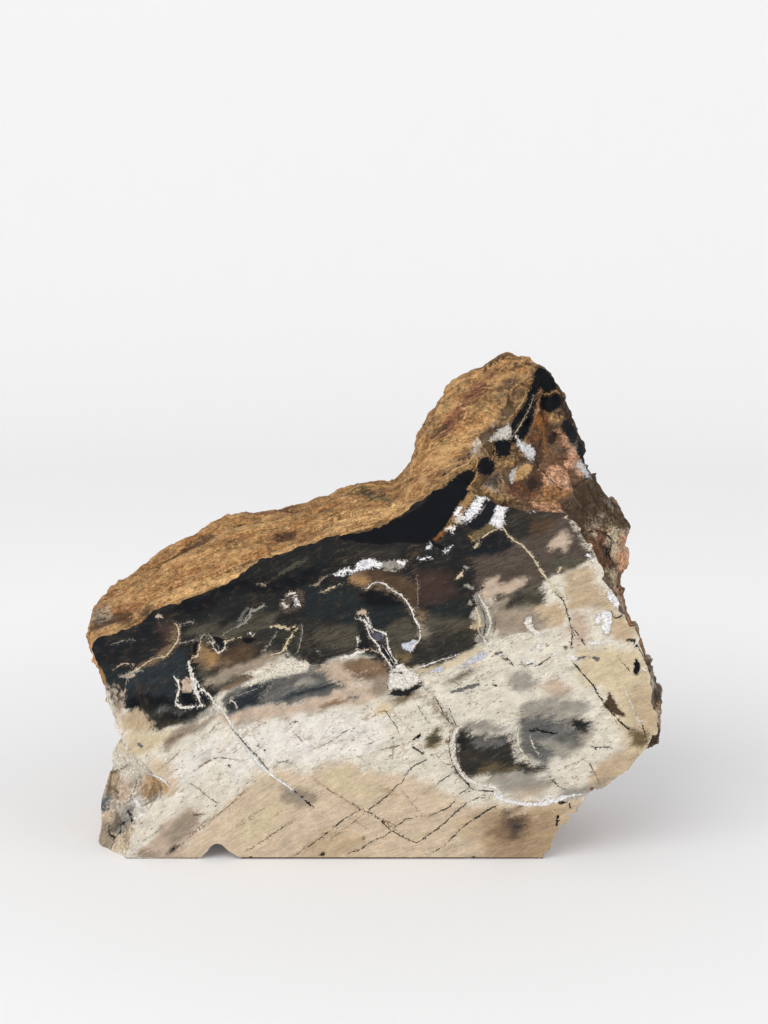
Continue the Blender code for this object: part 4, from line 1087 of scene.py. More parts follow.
def nearestOnLine(places, line, closed):
    # vector from each place to the line, its length less the half width, and the half width
    starts = line
    ends = np.roll(line, -1, axis=0) if closed else line[1:]
    if len(line) == 1:
        ends = line
    starts = starts[:len(ends)]
    best = np.full(len(places), np.inf)
    offset = np.zeros((len(places), 2))
    width = np.zeros(len(places))
    for start, end in zip(starts, ends):
        step = end[:2] - start[:2]
        length = max(float(step @ step), 1e-9)
        t = np.clip((places - start[:2]) @ step / length, 0, 1)
        gap = start[:2] + t[:, None] * step - places
        radius = start[2] + (end[2] - start[2]) * t if len(start) > 2 else np.zeros(len(t))
        distance = np.hypot(gap[:, 0], gap[:, 1]) - radius
        closer = distance < best
        best[closer] = distance[closer]
        offset[closer] = gap[closer]
        width[closer] = radius[closer]
    return offset, best, width


def insideOutline(places, line):
    inside = np.zeros(len(places), dtype=bool)
    for start, end in zip(line, np.roll(line, -1, axis=0)):
        crosses = (start[1] > places[:, 1]) != (end[1] > places[:, 1])
        rise = end[1] - start[1] or 1e-9
        edge = start[0] + (places[:, 1] - start[1]) * (end[0] - start[0]) / rise
        inside ^= crosses & (places[:, 0] < edge)
    return inside


def nearMark(places, line, reach):
    grown = reach + (line[:, 2].max() if line.shape[1] > 2 else 0)
    low, high = line[:, :2].min(0) - grown, line[:, :2].max(0) + grown
    return np.nonzero(np.all((places > low) & (places < high), axis=1))[0]


def depthInside(places, points, reach):
    # which places are near a marking, and how far inside its edge each one is
    closed = len(points[0]) == 2
    line = smoothLine(points, closed)
    near = nearMark(places, line, reach)
    _, distance, _ = nearestOnLine(places[near], line, closed)
    if closed:
        distance = np.where(insideOutline(places[near], line), -distance, distance)
    return near, -distance


def wander(places, salt):
    # places shifted by noise and dragged along the grain, so that no outline stays smooth
    shift = np.empty_like(places)
    tilt = math.radians(stoneShape["grainTilt"])
    for index, (x, z) in enumerate(places):
        broad = noise.noise_vector(Vector((x / 18, salt, z / 18))) * paintSetup["waver"]
        fine = noise.noise_vector(Vector((x / 5, salt + 9, z / 5))) * paintSetup["fineWaver"]
        along = x * math.cos(tilt) + z * math.sin(tilt)
        across = z * math.cos(tilt) - x * math.sin(tilt)
        pull = noise.noise(Vector((along / 22, salt + 4, across / 2.4))) * paintSetup["drag"]
        shift[index] = (
            broad.x + fine.x + pull * math.cos(tilt),
            broad.z + fine.z + pull * math.sin(tilt),
        )
    return shift


def feather(places, salt):
    # about -1 to 1, in streaks along the grain; it breaks up the soft edges
    tilt = math.radians(stoneShape["grainTilt"])
    streaks = np.empty(len(places))
    for index, (x, z) in enumerate(places):
        along = x * math.cos(tilt) + z * math.sin(tilt)
        across = z * math.cos(tilt) - x * math.sin(tilt)
        streaks[index] = noise.noise(Vector((along / 14, salt, across / 4.5))) * 0.9
        streaks[index] += noise.noise(Vector((x / 4, salt + 5, z / 4))) * 0.8
    return streaks


def paintGround(places, marks, colour, figure, seen):
    streaks = feather(places, 21.0)
    for tone, soft, points in marks:
        near, depth = depthInside(places, points, soft * 1.7)
        value = depth / soft + streaks[near] * 0.7
        cover = smoothstep(-0.55, 0.55, value)[:, None] * seen[near, None]
        colour[near] += (toneColour(tone) - colour[near]) * cover
        figure[near, :2] += (np.array(tones[tone][1:]) - figure[near, :2]) * cover
    return colour, figure


def paintAreas(places, marks, seen):
    # colour of the nearest sharp area, and the depth inside it as a share of its soft edge
    paint = np.zeros((len(places), 4))
    paint[:, 3] = -4
    for tone, soft, points in marks:
        if len(points[0]) > 2:
            continue
        near, depth = depthInside(places, points, paintSetup["reach"])
        value = np.where(seen[near] > 0.5, np.clip(depth / soft, -4, 4), -4)
        taken = (value > 0) | (value >= paint[near, 3])
        paint[near[taken], :3] = toneColour(tone)
        paint[near[taken], 3] = value[taken]
    return paint


def paintStrokes(places, marks, seen):
    # vector to the nearest stroke, and its colour with its half width beside it
    best = np.full(len(places), paintSetup["reach"])
    toward = np.full((len(places), 3), 9.0)
    paint = np.zeros((len(places), 4))
    for tone, width, points in marks:
        if len(points[0]) < 3:
            shape = np.ones(len(points))
            shape[[0, -1]] = 0.45
            points = [(x, z, width * share) for (x, z), share in zip(points, shape)]
        line = smoothLine(points, False)
        near = nearMark(places, line, paintSetup["reach"])
        offset, distance, radius = nearestOnLine(places[near], line, False)
        closer = (distance < best[near]) & (seen[near] > 0.5)
        taken = near[closer]
        best[taken] = distance[closer]
        toward[taken, 0] = offset[closer, 0]
        toward[taken, 1] = np.hypot(offset[closer, 0], offset[closer, 1])
        toward[taken, 2] = offset[closer, 1]
        paint[taken, :3] = toneColour(tone)
        paint[taken, 3] = radius[closer]
    return toward, paint


def grainPlaces(places):
    # x along the grain, y into the stone, z across it; all in millimetres
    x, depth, z = places.T
    tilt = math.tan(math.radians(stoneShape["grainTilt"]))
    lowTilt = math.tan(math.radians(stoneShape["lowGrainTilt"]))
    low = smoothstep(130, 70, z)
    bend = 25 * np.logaddexp(0, (-40 - x) / 25)
    across = z - tilt * x + (lowTilt - tilt) * low * bend
    return np.stack([x + tilt * z, depth, across], axis=1)


def smoothNoise(places, size, salt):
    return np.array([noise.noise(Vector(p) / size + Vector((salt, 0, 0))) for p in places])


def paintFront(places):
    plan = places[:, [0, 2]]
    shift = wander(plan, 0.0)
    seen = np.ones(len(plan))
    colour = np.tile(toneColour("cream"), (len(plan), 1))
    figure = np.tile(np.array(tones["cream"][1:] + (0,), dtype=float), (len(plan), 1))
    slipped = colour.copy()
    paintGround(plan + shift + paintSetup["slip"], faceGround, slipped, figure.copy(), seen)
    paintGround(plan + shift, faceGround, colour, figure, seen)
    small = plan + shift * paintSetup["areaWaver"]
    areas = paintAreas(small, faceAreas + faceSpots, seen)
    spots = [mark for mark in faceSpots if len(mark[2][0]) > 2]
    return colour, slipped, figure, areas, spots, faceVeins, faceCracks, plan, seen


def skinColour(places, rind, normals):
    # the stone's colours where no marking is drawn
    broad = smoothNoise(places, 42, 0)[:, None]
    patch = smoothNoise(places, 17, 30)[:, None]
    streak = smoothNoise(places * np.array([0.12, 1, 1]), 6, 60)[:, None]
    # the rind turns darker olive where its surface faces away from the front
    turned = smoothstep(-0.62, -0.1, normals[:, 1:2])
    bark = toneColour("tawny") + (toneColour("gold") - toneColour("tawny")) * smoothstep(-0.3, 0.3, streak)
    bark += (toneColour("moss") - bark) * np.maximum(smoothstep(0.2, 0.5, patch) * 0.55, turned * 0.4)
    bark += (toneColour("maroon") - bark) * smoothstep(0.2, 0.5, -broad) * 0.45
    rock = toneColour("rose") + (toneColour("salmon") - toneColour("rose")) * smoothstep(0.0, 0.4, broad)
    rock += (toneColour("amber") - rock) * smoothstep(0.18, 0.42, patch) * 0.8
    rock += (toneColour("umber") - rock) * smoothstep(0.26, 0.5, streak - 0.4 * broad) * 0.8
    rock += (toneColour("chalk") - rock) * smoothstep(0.22, 0.45, -patch) * 0.6
    return rock + (bark - rock) * rind[:, None]


def paintSkin(places, normals, relief):
    eye = np.array(viewPoint()) / mm
    front = frontY / mm
    sight = places - eye
    share = (front - eye[1]) / sight[:, 1]
    plan = (eye + sight * share[:, None])[:, [0, 2]]
    toEye = -sight / np.linalg.norm(sight, axis=1)[:, None]
    seen = smoothstep(-0.12, 0.1, np.sum(normals * toEye, axis=1))
    rind = rindAmount(places * mm)
    colour = skinColour(places, rind, normals)
    calm = smoothstep(-110, -126, places[:, 0]) * (1 - rind)
    figure = np.stack([relief, rind, calm], axis=1)
    shift = wander(plan, 50.0)
    moved = plan + shift * paintSetup["skinWaver"]
    unused = np.zeros((len(plan), 2))
    slipped = colour.copy()
    paintGround(moved + paintSetup["skinSlip"], skinGround, slipped, unused, seen)
    paintGround(moved, skinGround, colour, unused, seen)
    areas = paintAreas(plan + shift * paintSetup["areaWaver"], skinAreas, seen)
    return colour, slipped, figure, areas, skinSpots, skinVeins, skinCracks, plan, seen


def cornerLayer(mesh, name, kind, vertexValues, corners):
    # writes vertex values to the face corners of one side of the mesh
    size = {"FLOAT_COLOR": 4, "FLOAT_VECTOR": 3}[kind]
    field = {"FLOAT_COLOR": "color", "FLOAT_VECTOR": "vector"}[kind]
    layer = mesh.attributes.get(name) or mesh.attributes.new(name, kind, "CORNER")
    values = np.zeros(len(mesh.loops) * size)
    layer.data.foreach_get(field, values)
    values = values.reshape(-1, size)
    values[corners] = vertexValues
    layer.data.foreach_set(field, values.ravel())


def paintSide(stone, onFront):
    mesh = stone.data
    places = readVertices(mesh, "co") / mm
    normals = readVertices(mesh, "normal")
    relief = np.empty(len(mesh.vertices))
    mesh.attributes["relief"].data.foreach_get("value", relief)
    slots = np.empty(len(mesh.polygons), dtype=int)
    mesh.polygons.foreach_get("material_index", slots)
    sizes = np.empty(len(mesh.polygons), dtype=int)
    mesh.polygons.foreach_get("loop_total", sizes)
    owners = np.empty(len(mesh.loops), dtype=int)
    mesh.loops.foreach_get("vertex_index", owners)
    corners = np.nonzero(np.repeat((slots == 0) == onFront, sizes))[0]
    used, order = np.unique(owners[corners], return_inverse=True)
    if onFront:
        result = paintFront(places[used])
    else:
        result = paintSkin(places[used], normals[used], relief[used])
    colour, slipped, figure, areas, spots, veins, cracks, plan, seen = result
    ground = np.column_stack([colour, figure[:, 0]])
    cornerLayer(mesh, "ground", "FLOAT_COLOR", ground[order], corners)
    second = np.column_stack([slipped, seen])
    cornerLayer(mesh, "secondCoat", "FLOAT_COLOR", second[order], corners)
    figure = np.column_stack([figure[:, 1], seen, figure[:, 2]])
    cornerLayer(mesh, "figure", "FLOAT_VECTOR", figure[order], corners)
    cornerLayer(mesh, "area", "FLOAT_COLOR", areas[order], corners)
    cornerLayer(mesh, "grain", "FLOAT_VECTOR", grainPlaces(places[used])[order], corners)
    for name, marks in (("spot", spots), ("vein", veins), ("crack", cracks)):
        toward, paint = paintStrokes(plan, marks, seen)
        cornerLayer(mesh, name + "To", "FLOAT_VECTOR", toward[order], corners)
        cornerLayer(mesh, name, "FLOAT_COLOR", paint[order], corners)


def paintStone(stone):
    # slot 0 is the polished front, 1 the rough skin, 2 the sawn base
    for polygon in stone.data.polygons:
        polygon.material_index = 1
        if polygon.normal.y < -0.999 and abs(polygon.center.y - frontY) < 0.01 * mm:
            polygon.material_index = 0
        elif polygon.normal.z < -0.999 and abs(polygon.center.z) < 0.01 * mm:
            polygon.material_index = 2
    paintSide(stone, True)
    print("polished front painted:", len(faceGround) + len(faceAreas) + len(faceSpots), "areas and spots")
    paintSide(stone, False)
    print("rough skin painted:", len(skinGround) + len(skinAreas) + len(skinSpots), "areas and spots")


finishSetup = {
    "polish": 0.3,         # roughness of the polished face
    "dullness": 0.84,      # roughness of the rind and the broken rock
    "edgeGrain": 0.55,     # how ragged the edges of the markings are, mm
}


def addNode(tree, kind, inputs=None, **settings):
    node = tree.nodes.new(kind)
    for name, value in settings.items():
        setattr(node, name, value)
    for place, value in (inputs or {}).items():
        if isinstance(value, bpy.types.NodeSocket):
            tree.links.new(value, node.inputs[place])
        else:
            node.inputs[place].default_value = value
    return node


def calc(tree, operation, first, second=0.0, third=0.0):
    inputs = {0: first, 1: second, 2: third}
    return addNode(tree, "ShaderNodeMath", inputs, operation=operation).outputs[0]


def sumOf(tree, value, share, base):
    # value * share + base
    return calc(tree, "MULTIPLY_ADD", value, share, base)


def ramp(tree, value, low, high, start=0.0, end=1.0):
    inputs = {"Value": value, "From Min": low, "From Max": high, "To Min": start, "To Max": end}
    node = addNode(tree, "ShaderNodeMapRange", inputs, interpolation_type="SMOOTHSTEP")
    return node.outputs["Result"]


def blend(tree, share, first, second, how="MIX"):
    inputs = {0: share, 6: first, 7: second}
    node = addNode(tree, "ShaderNodeMix", inputs, data_type="RGBA", blend_type=how)
    return node.outputs[2]


def plainColour(name, share=1.0):
    return tuple(toneColour(name) * share) + (1.0,)


def layer(tree, name):
    return addNode(tree, "ShaderNodeAttribute", attribute_name=name, attribute_type="GEOMETRY")


def scaled(tree, vector, scale, offset=0.0):
    inputs = {0: vector, 1: scale, 2: (offset, offset, offset)}
    return addNode(tree, "ShaderNodeVectorMath", inputs, operation="MULTIPLY_ADD").outputs[0]


def noiseNode(tree, vector, scale, offset=0.0, detail=2.0, roughness=0.5):
    # cells whose size along each direction comes from scale
    return addNode(tree, "ShaderNodeTexNoise", {
        "Vector": scaled(tree, vector, scale, offset),
        "Scale": 1.0,
        "Detail": detail,
        "Roughness": roughness,
    })


def cloud(tree, vector, scale, offset=0.0, detail=2.0, roughness=0.5):
    return noiseNode(tree, vector, scale, offset, detail, roughness).outputs[0]


def push(tree, vector, source, reach):
    # the place moved by a coloured noise, up to half of reach each way
    move = tuple(-0.5 * step for step in reach)
    inputs = {0: source.outputs["Color"], 1: reach, 2: move}
    shift = addNode(tree, "ShaderNodeVectorMath", inputs, operation="MULTIPLY_ADD").outputs[0]
    return addNode(tree, "ShaderNodeVectorMath", {0: vector, 1: shift}, operation="ADD").outputs[0]


def cellNode(tree, vector, scale, offset=0.0):
    return addNode(tree, "ShaderNodeTexVoronoi", {
        "Vector": scaled(tree, vector, scale, offset), "Scale": 1.0, "Randomness": 1.0,
    })


def separate(tree, vector):
    return addNode(tree, "ShaderNodeSeparateXYZ", {0: vector}).outputs


def product(tree, *values):
    result = values[0]
    for value in values[1:]:
        result = calc(tree, "MULTIPLY", result, value)
    return result


def shaded(tree, colour, amount):
    # the colour made darker or lighter by a plain number
    grey = addNode(tree, "ShaderNodeCombineXYZ", {0: amount, 1: amount, 2: amount}).outputs[0]
    return blend(tree, 1.0, colour, grey, "MULTIPLY")


def stroke(tree, colour, name, look, rim, breaks):
    # a drawn line: inside where the way to its middle is shorter than its half width
    wiggle, patchy, body, dust = look
    way = layer(tree, name + "To").outputs["Vector"]
    paint = layer(tree, name)
    flat = addNode(tree, "ShaderNodeVectorMath", {
        0: push(tree, way, wiggle[0], wiggle[1]), 1: (1.0, 0.0, 1.0),
    }, operation="MULTIPLY").outputs[0]
    length = addNode(tree, "ShaderNodeVectorMath", {0: flat}, operation="LENGTH").outputs["Value"]
    width = product(tree, paint.outputs["Alpha"], ramp(tree, patchy, 0.32, 0.68, 0.35, 1.2))
    depth = calc(tree, "SUBTRACT", width, length)
    gate = ramp(tree, calc(tree, "SUBTRACT", separate(tree, way)[1], paint.outputs["Alpha"]), 1.6, 1.1)
    if rim:
        edge = product(tree, ramp(tree, depth, -1.0, -0.1), gate, rim, ramp(tree, patchy, 0.4, 0.6))
        colour = blend(tree, edge, colour, plainColour("bistre"))
    crumbs = product(tree, ramp(tree, dust, 0.56, 0.62), ramp(tree, depth, -1.8, -0.3), gate, 0.8)
    line = product(tree, ramp(tree, depth, -0.14, 0.14), gate, ramp(tree, body, 0.26, 0.46, breaks, 1.0))
    cover = calc(tree, "MAXIMUM", crumbs, line)
    tone = shaded(tree, paint.outputs["Color"], ramp(tree, dust, 0.3, 0.62, 0.55, 1.08))
    return blend(tree, cover, colour, tone), cover


def drawMarkings(tree, colour, grain):
    # the sharp areas, the spots, the pale veins and the dark cracks, in this order
    coarse = noiseNode(tree, grain, (0.3, 0.3, 0.5), 0.0, 4.0, 0.65)
    fine = noiseNode(tree, grain, (0.9, 0.9, 1.2), 31.0, 2.0)
    dust = cloud(tree, grain, (0.75, 0.75, 0.85), 44.0, 4.0, 0.75)
    ragged = sumOf(tree, fine.outputs[0], 0.6, coarse.outputs[0])
    ragged = sumOf(tree, dust, 0.9, ragged)
    ragged = calc(tree, "MULTIPLY", calc(tree, "SUBTRACT", ragged, 1.25), 6.0 * finishSetup["edgeGrain"])
    area = layer(tree, "area")
    edge = calc(tree, "ADD", area.outputs["Alpha"], ragged)
    rim = product(tree, ramp(tree, edge, -1.6, -0.1), 0.3)
    colour = blend(tree, rim, colour, plainColour("bistre"))
    areaCover = ramp(tree, edge, -0.35, 0.35)
    tone = shaded(tree, area.outputs["Color"], ramp(tree, dust, 0.34, 0.6, 0.5, 1.06))
    colour = blend(tree, areaCover, colour, tone)
    patchy = coarse.outputs[0]
    body = fine.outputs[0]
    look = ((coarse, (2.6, 0.0, 2.6)), patchy, body, dust)
    colour, spotCover = stroke(tree, colour, "spot", look, 0.2, 0.6)
    colour, veinCover = stroke(tree, colour, "vein", look, 0.4, 0.55)
    colour, crackCover = stroke(tree, colour, "crack", look, 0.0, 0.7)
    pale = calc(tree, "MAXIMUM", areaCover, calc(tree, "MAXIMUM", spotCover, veinCover))
    return colour, pale, crackCover


def newMaterial(name, **shaderValues):
    material = bpy.data.materials.new(name)
    material.use_nodes = True
    tree = material.node_tree
    shader = tree.nodes["Principled BSDF"]
    for socket, value in shaderValues.items():
        shader.inputs[socket.replace("_", " ")].default_value = value
    return material, tree, shader


def finishShader(tree, shader, colour, roughness, height, distance, strength):
    tree.links.new(colour, shader.inputs["Base Color"])
    tree.links.new(roughness, shader.inputs["Roughness"])
    bump = addNode(tree, "ShaderNodeBump", {"Height": height, "Distance": distance, "Strength": strength})
    tree.links.new(bump.outputs[0], shader.inputs["Normal"])


def wispsAndStains(tree, colour, grain, bent, mottle, narrow, grit, pale, streaked):
    # olive wisps in the dark ground, tan ones in the pale
    wispy = sumOf(tree, mottle, 0.45, product(tree, narrow, 0.55))
    wisp = product(tree, ramp(tree, wispy, 0.54, 0.60), streaked, ramp(tree, pale, 0.0, 1.0, 0.5, 0.5))
    colour = blend(tree, wisp, colour, blend(tree, pale, plainColour("olive"), plainColour("buff")))
    bright = product(tree, ramp(tree, wispy, 0.60, 0.67), streaked, ramp(tree, pale, 0.0, 0.5, 0.5, 0.0))
    colour = blend(tree, bright, colour, plainColour("taupe"))
    # cloudy stains, brown in the dark ground, rosy and grey in the pale
    stain = ramp(tree, mottle, 0.5, 0.68, 0.0, 0.34)
    colour = blend(tree, stain, colour, blend(tree, pale, plainColour("umber"), plainColour("rose")))
    grey = cloud(tree, bent, (0.07, 0.07, 0.2), 71.0, 5.0, 0.72)
    colour = blend(tree, ramp(tree, grey, 0.54, 0.7, 0.0, 0.5), colour, blend(
        tree, pale, plainColour("pitch"), plainColour("ash")
    ))
    tan = cloud(tree, grain, (0.1, 0.1, 0.16), 91.0, 6.0, 0.78)
    colour = shaded(tree, colour, ramp(tree, tan, 0.36, 0.64, 0.86, 1.08))
    speckle = ramp(tree, grit, 0.34, 0.66, -0.2, 0.16)
    speckle = product(tree, speckle, ramp(tree, pale, 0.0, 1.0, 1.0, 0.45))
    colour = shaded(tree, colour, calc(tree, "ADD", speckle, 1.0))
    return colour


def brightDust(tree, colour, grain, mottle, pale, streaked):
    # bright dust in the dark wood
    dots = cellNode(tree, grain, (0.6, 0.6, 0.8), 23.0)
    star = product(
        tree, ramp(tree, dots.outputs["Distance"], 0.3, 0.12), ramp(tree, mottle, 0.5, 0.6, 0.0, 0.8),
        ramp(tree, separate(tree, dots.outputs["Color"])[0], 0.86, 0.93), ramp(tree, pale, 0.5, 0.1),
    )
    colour = blend(tree, product(tree, star, streaked), colour, plainColour("ash"))
    return colour


def cellMarks(tree, colour, grain, mottle, broad, speckled):
    # short dark cell marks lying along the grain in the pale wood
    for size, salt, amount in ((0.2, 5.0, 0.85), (0.36, 9.0, 0.8)):
        jittered = push(tree, grain, noiseNode(tree, grain, (0.5, 0.5, 0.5), 7.0), (1.4, 1.4, 1.4))
        cells = cellNode(tree, jittered, (size, size, 2.8 * size), salt)
        chosen = ramp(tree, separate(tree, cells.outputs["Color"])[0], 0.68, 0.8)
        dash = product(
            tree, ramp(tree, cells.outputs["Distance"], 0.32, 0.18), chosen, speckled,
            ramp(tree, mottle, 0.42, 0.56, 0.15, amount),
        )
        colour = blend(tree, dash, colour, plainColour("umber"))
    # hairline cracks in a loose net, square to the grain and along it
    netPlace = push(tree, scaled(tree, grain, (0.045, 0.03, 0.10), 13.0), noiseNode(
        tree, grain, (0.16, 0.16, 0.28), 41.0, 3.0
    ), (0.5, 0.5, 0.5))
    net = addNode(
        tree, "ShaderNodeTexVoronoi", {"Vector": netPlace, "Scale": 1.0}, feature="DISTANCE_TO_EDGE",
        distance="EUCLIDEAN",
    )
    hairline = product(
        tree, ramp(tree, net.outputs["Distance"], 0.026, 0.006), ramp(tree, broad, 0.45, 0.56),
        speckled, 0.5,
    )
    colour = blend(tree, hairline, colour, plainColour("bark"))
    return colour


def polishedFace():
    material, tree, shader = newMaterial("polishedFace", Specular_IOR_Level=0.1)
    ground = layer(tree, "ground")
    speckled = separate(tree, layer(tree, "figure").outputs["Vector"])[0]
    streaked = ground.outputs["Alpha"]
    grain = layer(tree, "grain").outputs["Vector"]
    bent = push(tree, grain, noiseNode(tree, grain, (0.04, 0.04, 0.07), 81.0, 3.0), (9.0, 4.0, 9.0))
    # fibres and clouds of several widths
    broad = cloud(tree, bent, (0.03, 0.03, 0.24), 3.0, 5.0, 0.65)
    narrow = cloud(tree, bent, (0.09, 0.06, 0.8), 11.0, 4.0, 0.65)
    hair = cloud(tree, bent, (0.2, 0.1, 2.2), 17.0, 3.0, 0.6)
    mottle = cloud(tree, grain, (0.15, 0.15, 0.24), 41.0, 6.0, 0.74)
    grit = cloud(tree, grain, (0.7, 0.7, 0.9), 51.0, 4.0, 0.78)
    # the two coats of paint, mixed in grains
    weave = sumOf(tree, grit, 0.4, sumOf(tree, mottle, 0.3, product(tree, narrow, 0.3)))
    second = layer(tree, "secondCoat").outputs["Color"]
    colour = blend(tree, ramp(tree, weave, 0.45, 0.55), ground.outputs["Color"], second)
    light = addNode(tree, "ShaderNodeRGBToBW", {0: colour}).outputs[0]
    pale = ramp(tree, light, 0.05, 0.4)
    # fibres darken and lighten it, most in the dark wood
    fibres = sumOf(tree, narrow, 0.4, sumOf(tree, broad, 0.35, product(tree, hair, 0.25)))
    deepShare = ramp(tree, fibres, 0.36, 0.66, 0.45, 1.55)
    paleShare = ramp(tree, fibres, 0.38, 0.60, 0.74, 1.08)
    share = sumOf(tree, calc(tree, "SUBTRACT", paleShare, deepShare), pale, deepShare)
    share = sumOf(tree, calc(tree, "SUBTRACT", share, 1.0), streaked, 1.0)
    colour = shaded(tree, colour, share)
    colour = wispsAndStains(tree, colour, grain, bent, mottle, narrow, grit, pale, streaked)
    colour = brightDust(tree, colour, grain, mottle, pale, streaked)
    colour = cellMarks(tree, colour, grain, mottle, broad, speckled)
    colour, whiteCover, crackCover = drawMarkings(tree, colour, grain)
    roughness = sumOf(tree, crackCover, 0.25, finishSetup["polish"])
    roughness = sumOf(tree, whiteCover, 0.1, roughness)
    roughness = sumOf(tree, mottle, 0.08, roughness)
    height = sumOf(tree, crackCover, -1.0, product(tree, fibres, 0.25))
    finishShader(tree, shader, colour, roughness, height, 0.0003, 0.35)
    return material


def roughSkin():
    material, tree, shader = newMaterial("roughSkin", Specular_IOR_Level=0.2)
    ground = layer(tree, "ground")
    kinds = separate(tree, layer(tree, "figure").outputs["Vector"])
    rind, calm = kinds[0], kinds[2]
    relief = ground.outputs["Alpha"]
    grain = layer(tree, "grain").outputs["Vector"]
    rough = ramp(tree, calm, 0.0, 1.0, 1.0, 0.4)
    # fibres and grains of the rind, chips and grains of the broken rock
    bent = push(tree, grain, noiseNode(tree, grain, (0.08, 0.08, 0.12), 27.0, 3.0), (6.0, 4.0, 5.0))
    fibre = cloud(tree, bent, (0.16, 0.45, 0.62), 2.0, 6.0, 0.8)
    crumbs = cloud(tree, grain, (0.4, 0.4, 0.5), 8.0, 6.0, 0.82)
    sand = cloud(tree, grain, (0.9, 0.9, 1.1), 18.0, 3.0, 0.75)
    texture = sumOf(tree, calc(tree, "SUBTRACT", fibre, crumbs), product(tree, rind, 0.55), crumbs)
    texture = sumOf(tree, calc(tree, "SUBTRACT", texture, 0.5), rough, 0.5)
    second = layer(tree, "secondCoat").outputs["Color"]
    colour = blend(tree, ramp(tree, crumbs, 0.47, 0.53), ground.outputs["Color"], second)
    # light and dark drifts
    tint = cloud(tree, bent, (0.09, 0.14, 0.26), 61.0, 6.0, 0.75)
    drift = product(tree, ramp(tree, tint, 0.5, 0.64), ramp(tree, rind, 0.0, 1.0, 0.25, 0.6))
    colour = blend(tree, drift, colour, blend(tree, rind, plainColour("buff"), plainColour("wheat")))
    colour = blend(tree, product(tree, ramp(tree, tint, 0.48, 0.34, 0.0, 0.6), rough), colour, blend(
        tree, rind, plainColour("bark"), plainColour("tawny", 0.7)
    ))
    grains = cellNode(tree, grain, (0.5, 0.6, 0.8), 3.0)
    dice = calc(tree, "SUBTRACT", separate(tree, grains.outputs["Color"])[1], 0.5)
    colour = shaded(tree, colour, sumOf(tree, product(tree, dice, rough), 0.45, 1.0))
    # partly the grain's own tone, partly painted shade on the low parts and painted highlight on the high
    # parts of the bump
    colour = shaded(tree, colour, ramp(tree, texture, 0.38, 0.62, 0.38, 1.46))
    colour = shaded(tree, colour, ramp(tree, sand, 0.34, 0.66, 0.78, 1.16))
    # painted shade in the hollows and painted highlight on the ridges, both taken from the relief
    height = sumOf(tree, texture, 5.0, relief)
    paintedHollowShade = ramp(tree, height, 2.1, 0.6)
    colour = blend(tree, product(tree, paintedHollowShade, 0.75), colour, blend(
        tree, rind, plainColour("umber"), plainColour("bistre")
    ))
    # painted highlight: paler colour where the relief stands highest
    paintedRidgeHighlight = ramp(tree, height, 3.3, 4.6)
    colour = blend(tree, product(tree, paintedRidgeHighlight, ramp(tree, rind, 0.0, 1.0, 0.25, 0.4)), colour, blend(
        tree, rind, plainColour("cream"), plainColour("wheat")
    ))
    specks = cellNode(tree, bent, (0.4, 0.5, 0.8))
    pick = separate(tree, specks.outputs["Color"])[0]
    speck = product(
        tree, ramp(tree, pick, 0.72, 0.82), ramp(tree, specks.outputs["Distance"], 0.4, 0.22),
        ramp(tree, tint, 0.56, 0.46, 0.15, 0.75),
    )
    colour = blend(tree, speck, colour, plainColour("moss", 0.45))
    colour, _, crackCover = drawMarkings(tree, colour, grain)
    roughness = sumOf(tree, texture, 0.2, finishSetup["dullness"] - 0.12)
    height = sumOf(tree, crackCover, -0.8, texture)
    finishShader(tree, shader, colour, roughness, height, 0.0014, 0.9)
    return material


def sawnBase():
    material, tree, shader = newMaterial("sawnBase", Specular_IOR_Level=0.25)
    place = addNode(tree, "ShaderNodeTexCoord").outputs["Object"]
    stripes = cloud(tree, place, (35.0, 220.0, 35.0), 0.0, 4.0, 0.6)
    saw = cloud(tree, place, (25.0, 1400.0, 25.0), 4.0, 2.0, 0.5)
    colour = blend(tree, ramp(tree, stripes, 0.35, 0.65), plainColour("sand"), plainColour("taupe"))
    colour = blend(tree, ramp(tree, stripes, 0.6, 0.75), colour, plainColour("umber"))
    roughness = ramp(tree, saw, 0.3, 0.7, 0.55, 0.75)
    finishShader(tree, shader, colour, roughness, saw, 0.0002, 0.5)
    return material


def layOut(stone):
    # one map for the whole piece: the front flat in the upper part, the skin in squares below it
    mesh = stone.data
    mesh.uv_layers.new(name="OFBake")
    pickOnly(stone)
    owners = np.empty(len(mesh.loops), dtype=int)
    mesh.loops.foreach_get("vertex_index", owners)
    places = readVertices(mesh, "co")[owners][:, [0, 2]]
    groups = (
        lambda f: f.material_index == 0,
        lambda f: f.material_index > 0 and (f.material_index == 2 or f.normal.y > 0.35),
        lambda f: f.material_index == 1 and f.normal.y <= 0.35 and f.center.x - 0.6 * f.center.z < -0.09,
        lambda f: f.material_index == 1 and f.normal.y <= 0.35 and f.center.x - 0.6 * f.center.z >= -0.09,
    )
    margin = 0.01
    for number, wanted in enumerate(groups):
        selectFaces(stone, wanted)
        if number:
            bpy.ops.uv.smart_project(angle_limit=math.radians(60), island_margin=0.004)
        bpy.ops.object.mode_set(mode="OBJECT")
        uv = mesh.uv_layers["OFBake"]
        spots = np.empty(len(mesh.loops) * 2)
        uv.data.foreach_get("uv", spots)
        spots = spots.reshape(-1, 2)
        mine = np.repeat([p.select for p in mesh.polygons], [p.loop_total for p in mesh.polygons])
        if number == 0:
            low, high = places[mine].min(0), places[mine].max(0)
            size = (1 - 2 * margin) / (high[0] - low[0])
            stripTop = 1 - margin - size * (high[1] - low[1])
            spots[mine] = (margin, stripTop) + (places[mine] - low) * size
        else:
            side = min(1 / 3, stripTop) - 2 * margin
            low, high = spots[mine].min(0), spots[mine].max(0)
            fit = (spots[mine] - low) / (high - low).max()
            spots[mine] = ((number - 1) / 3 + margin, margin) + fit * side
        uv.data.foreach_set("uv", spots.ravel())


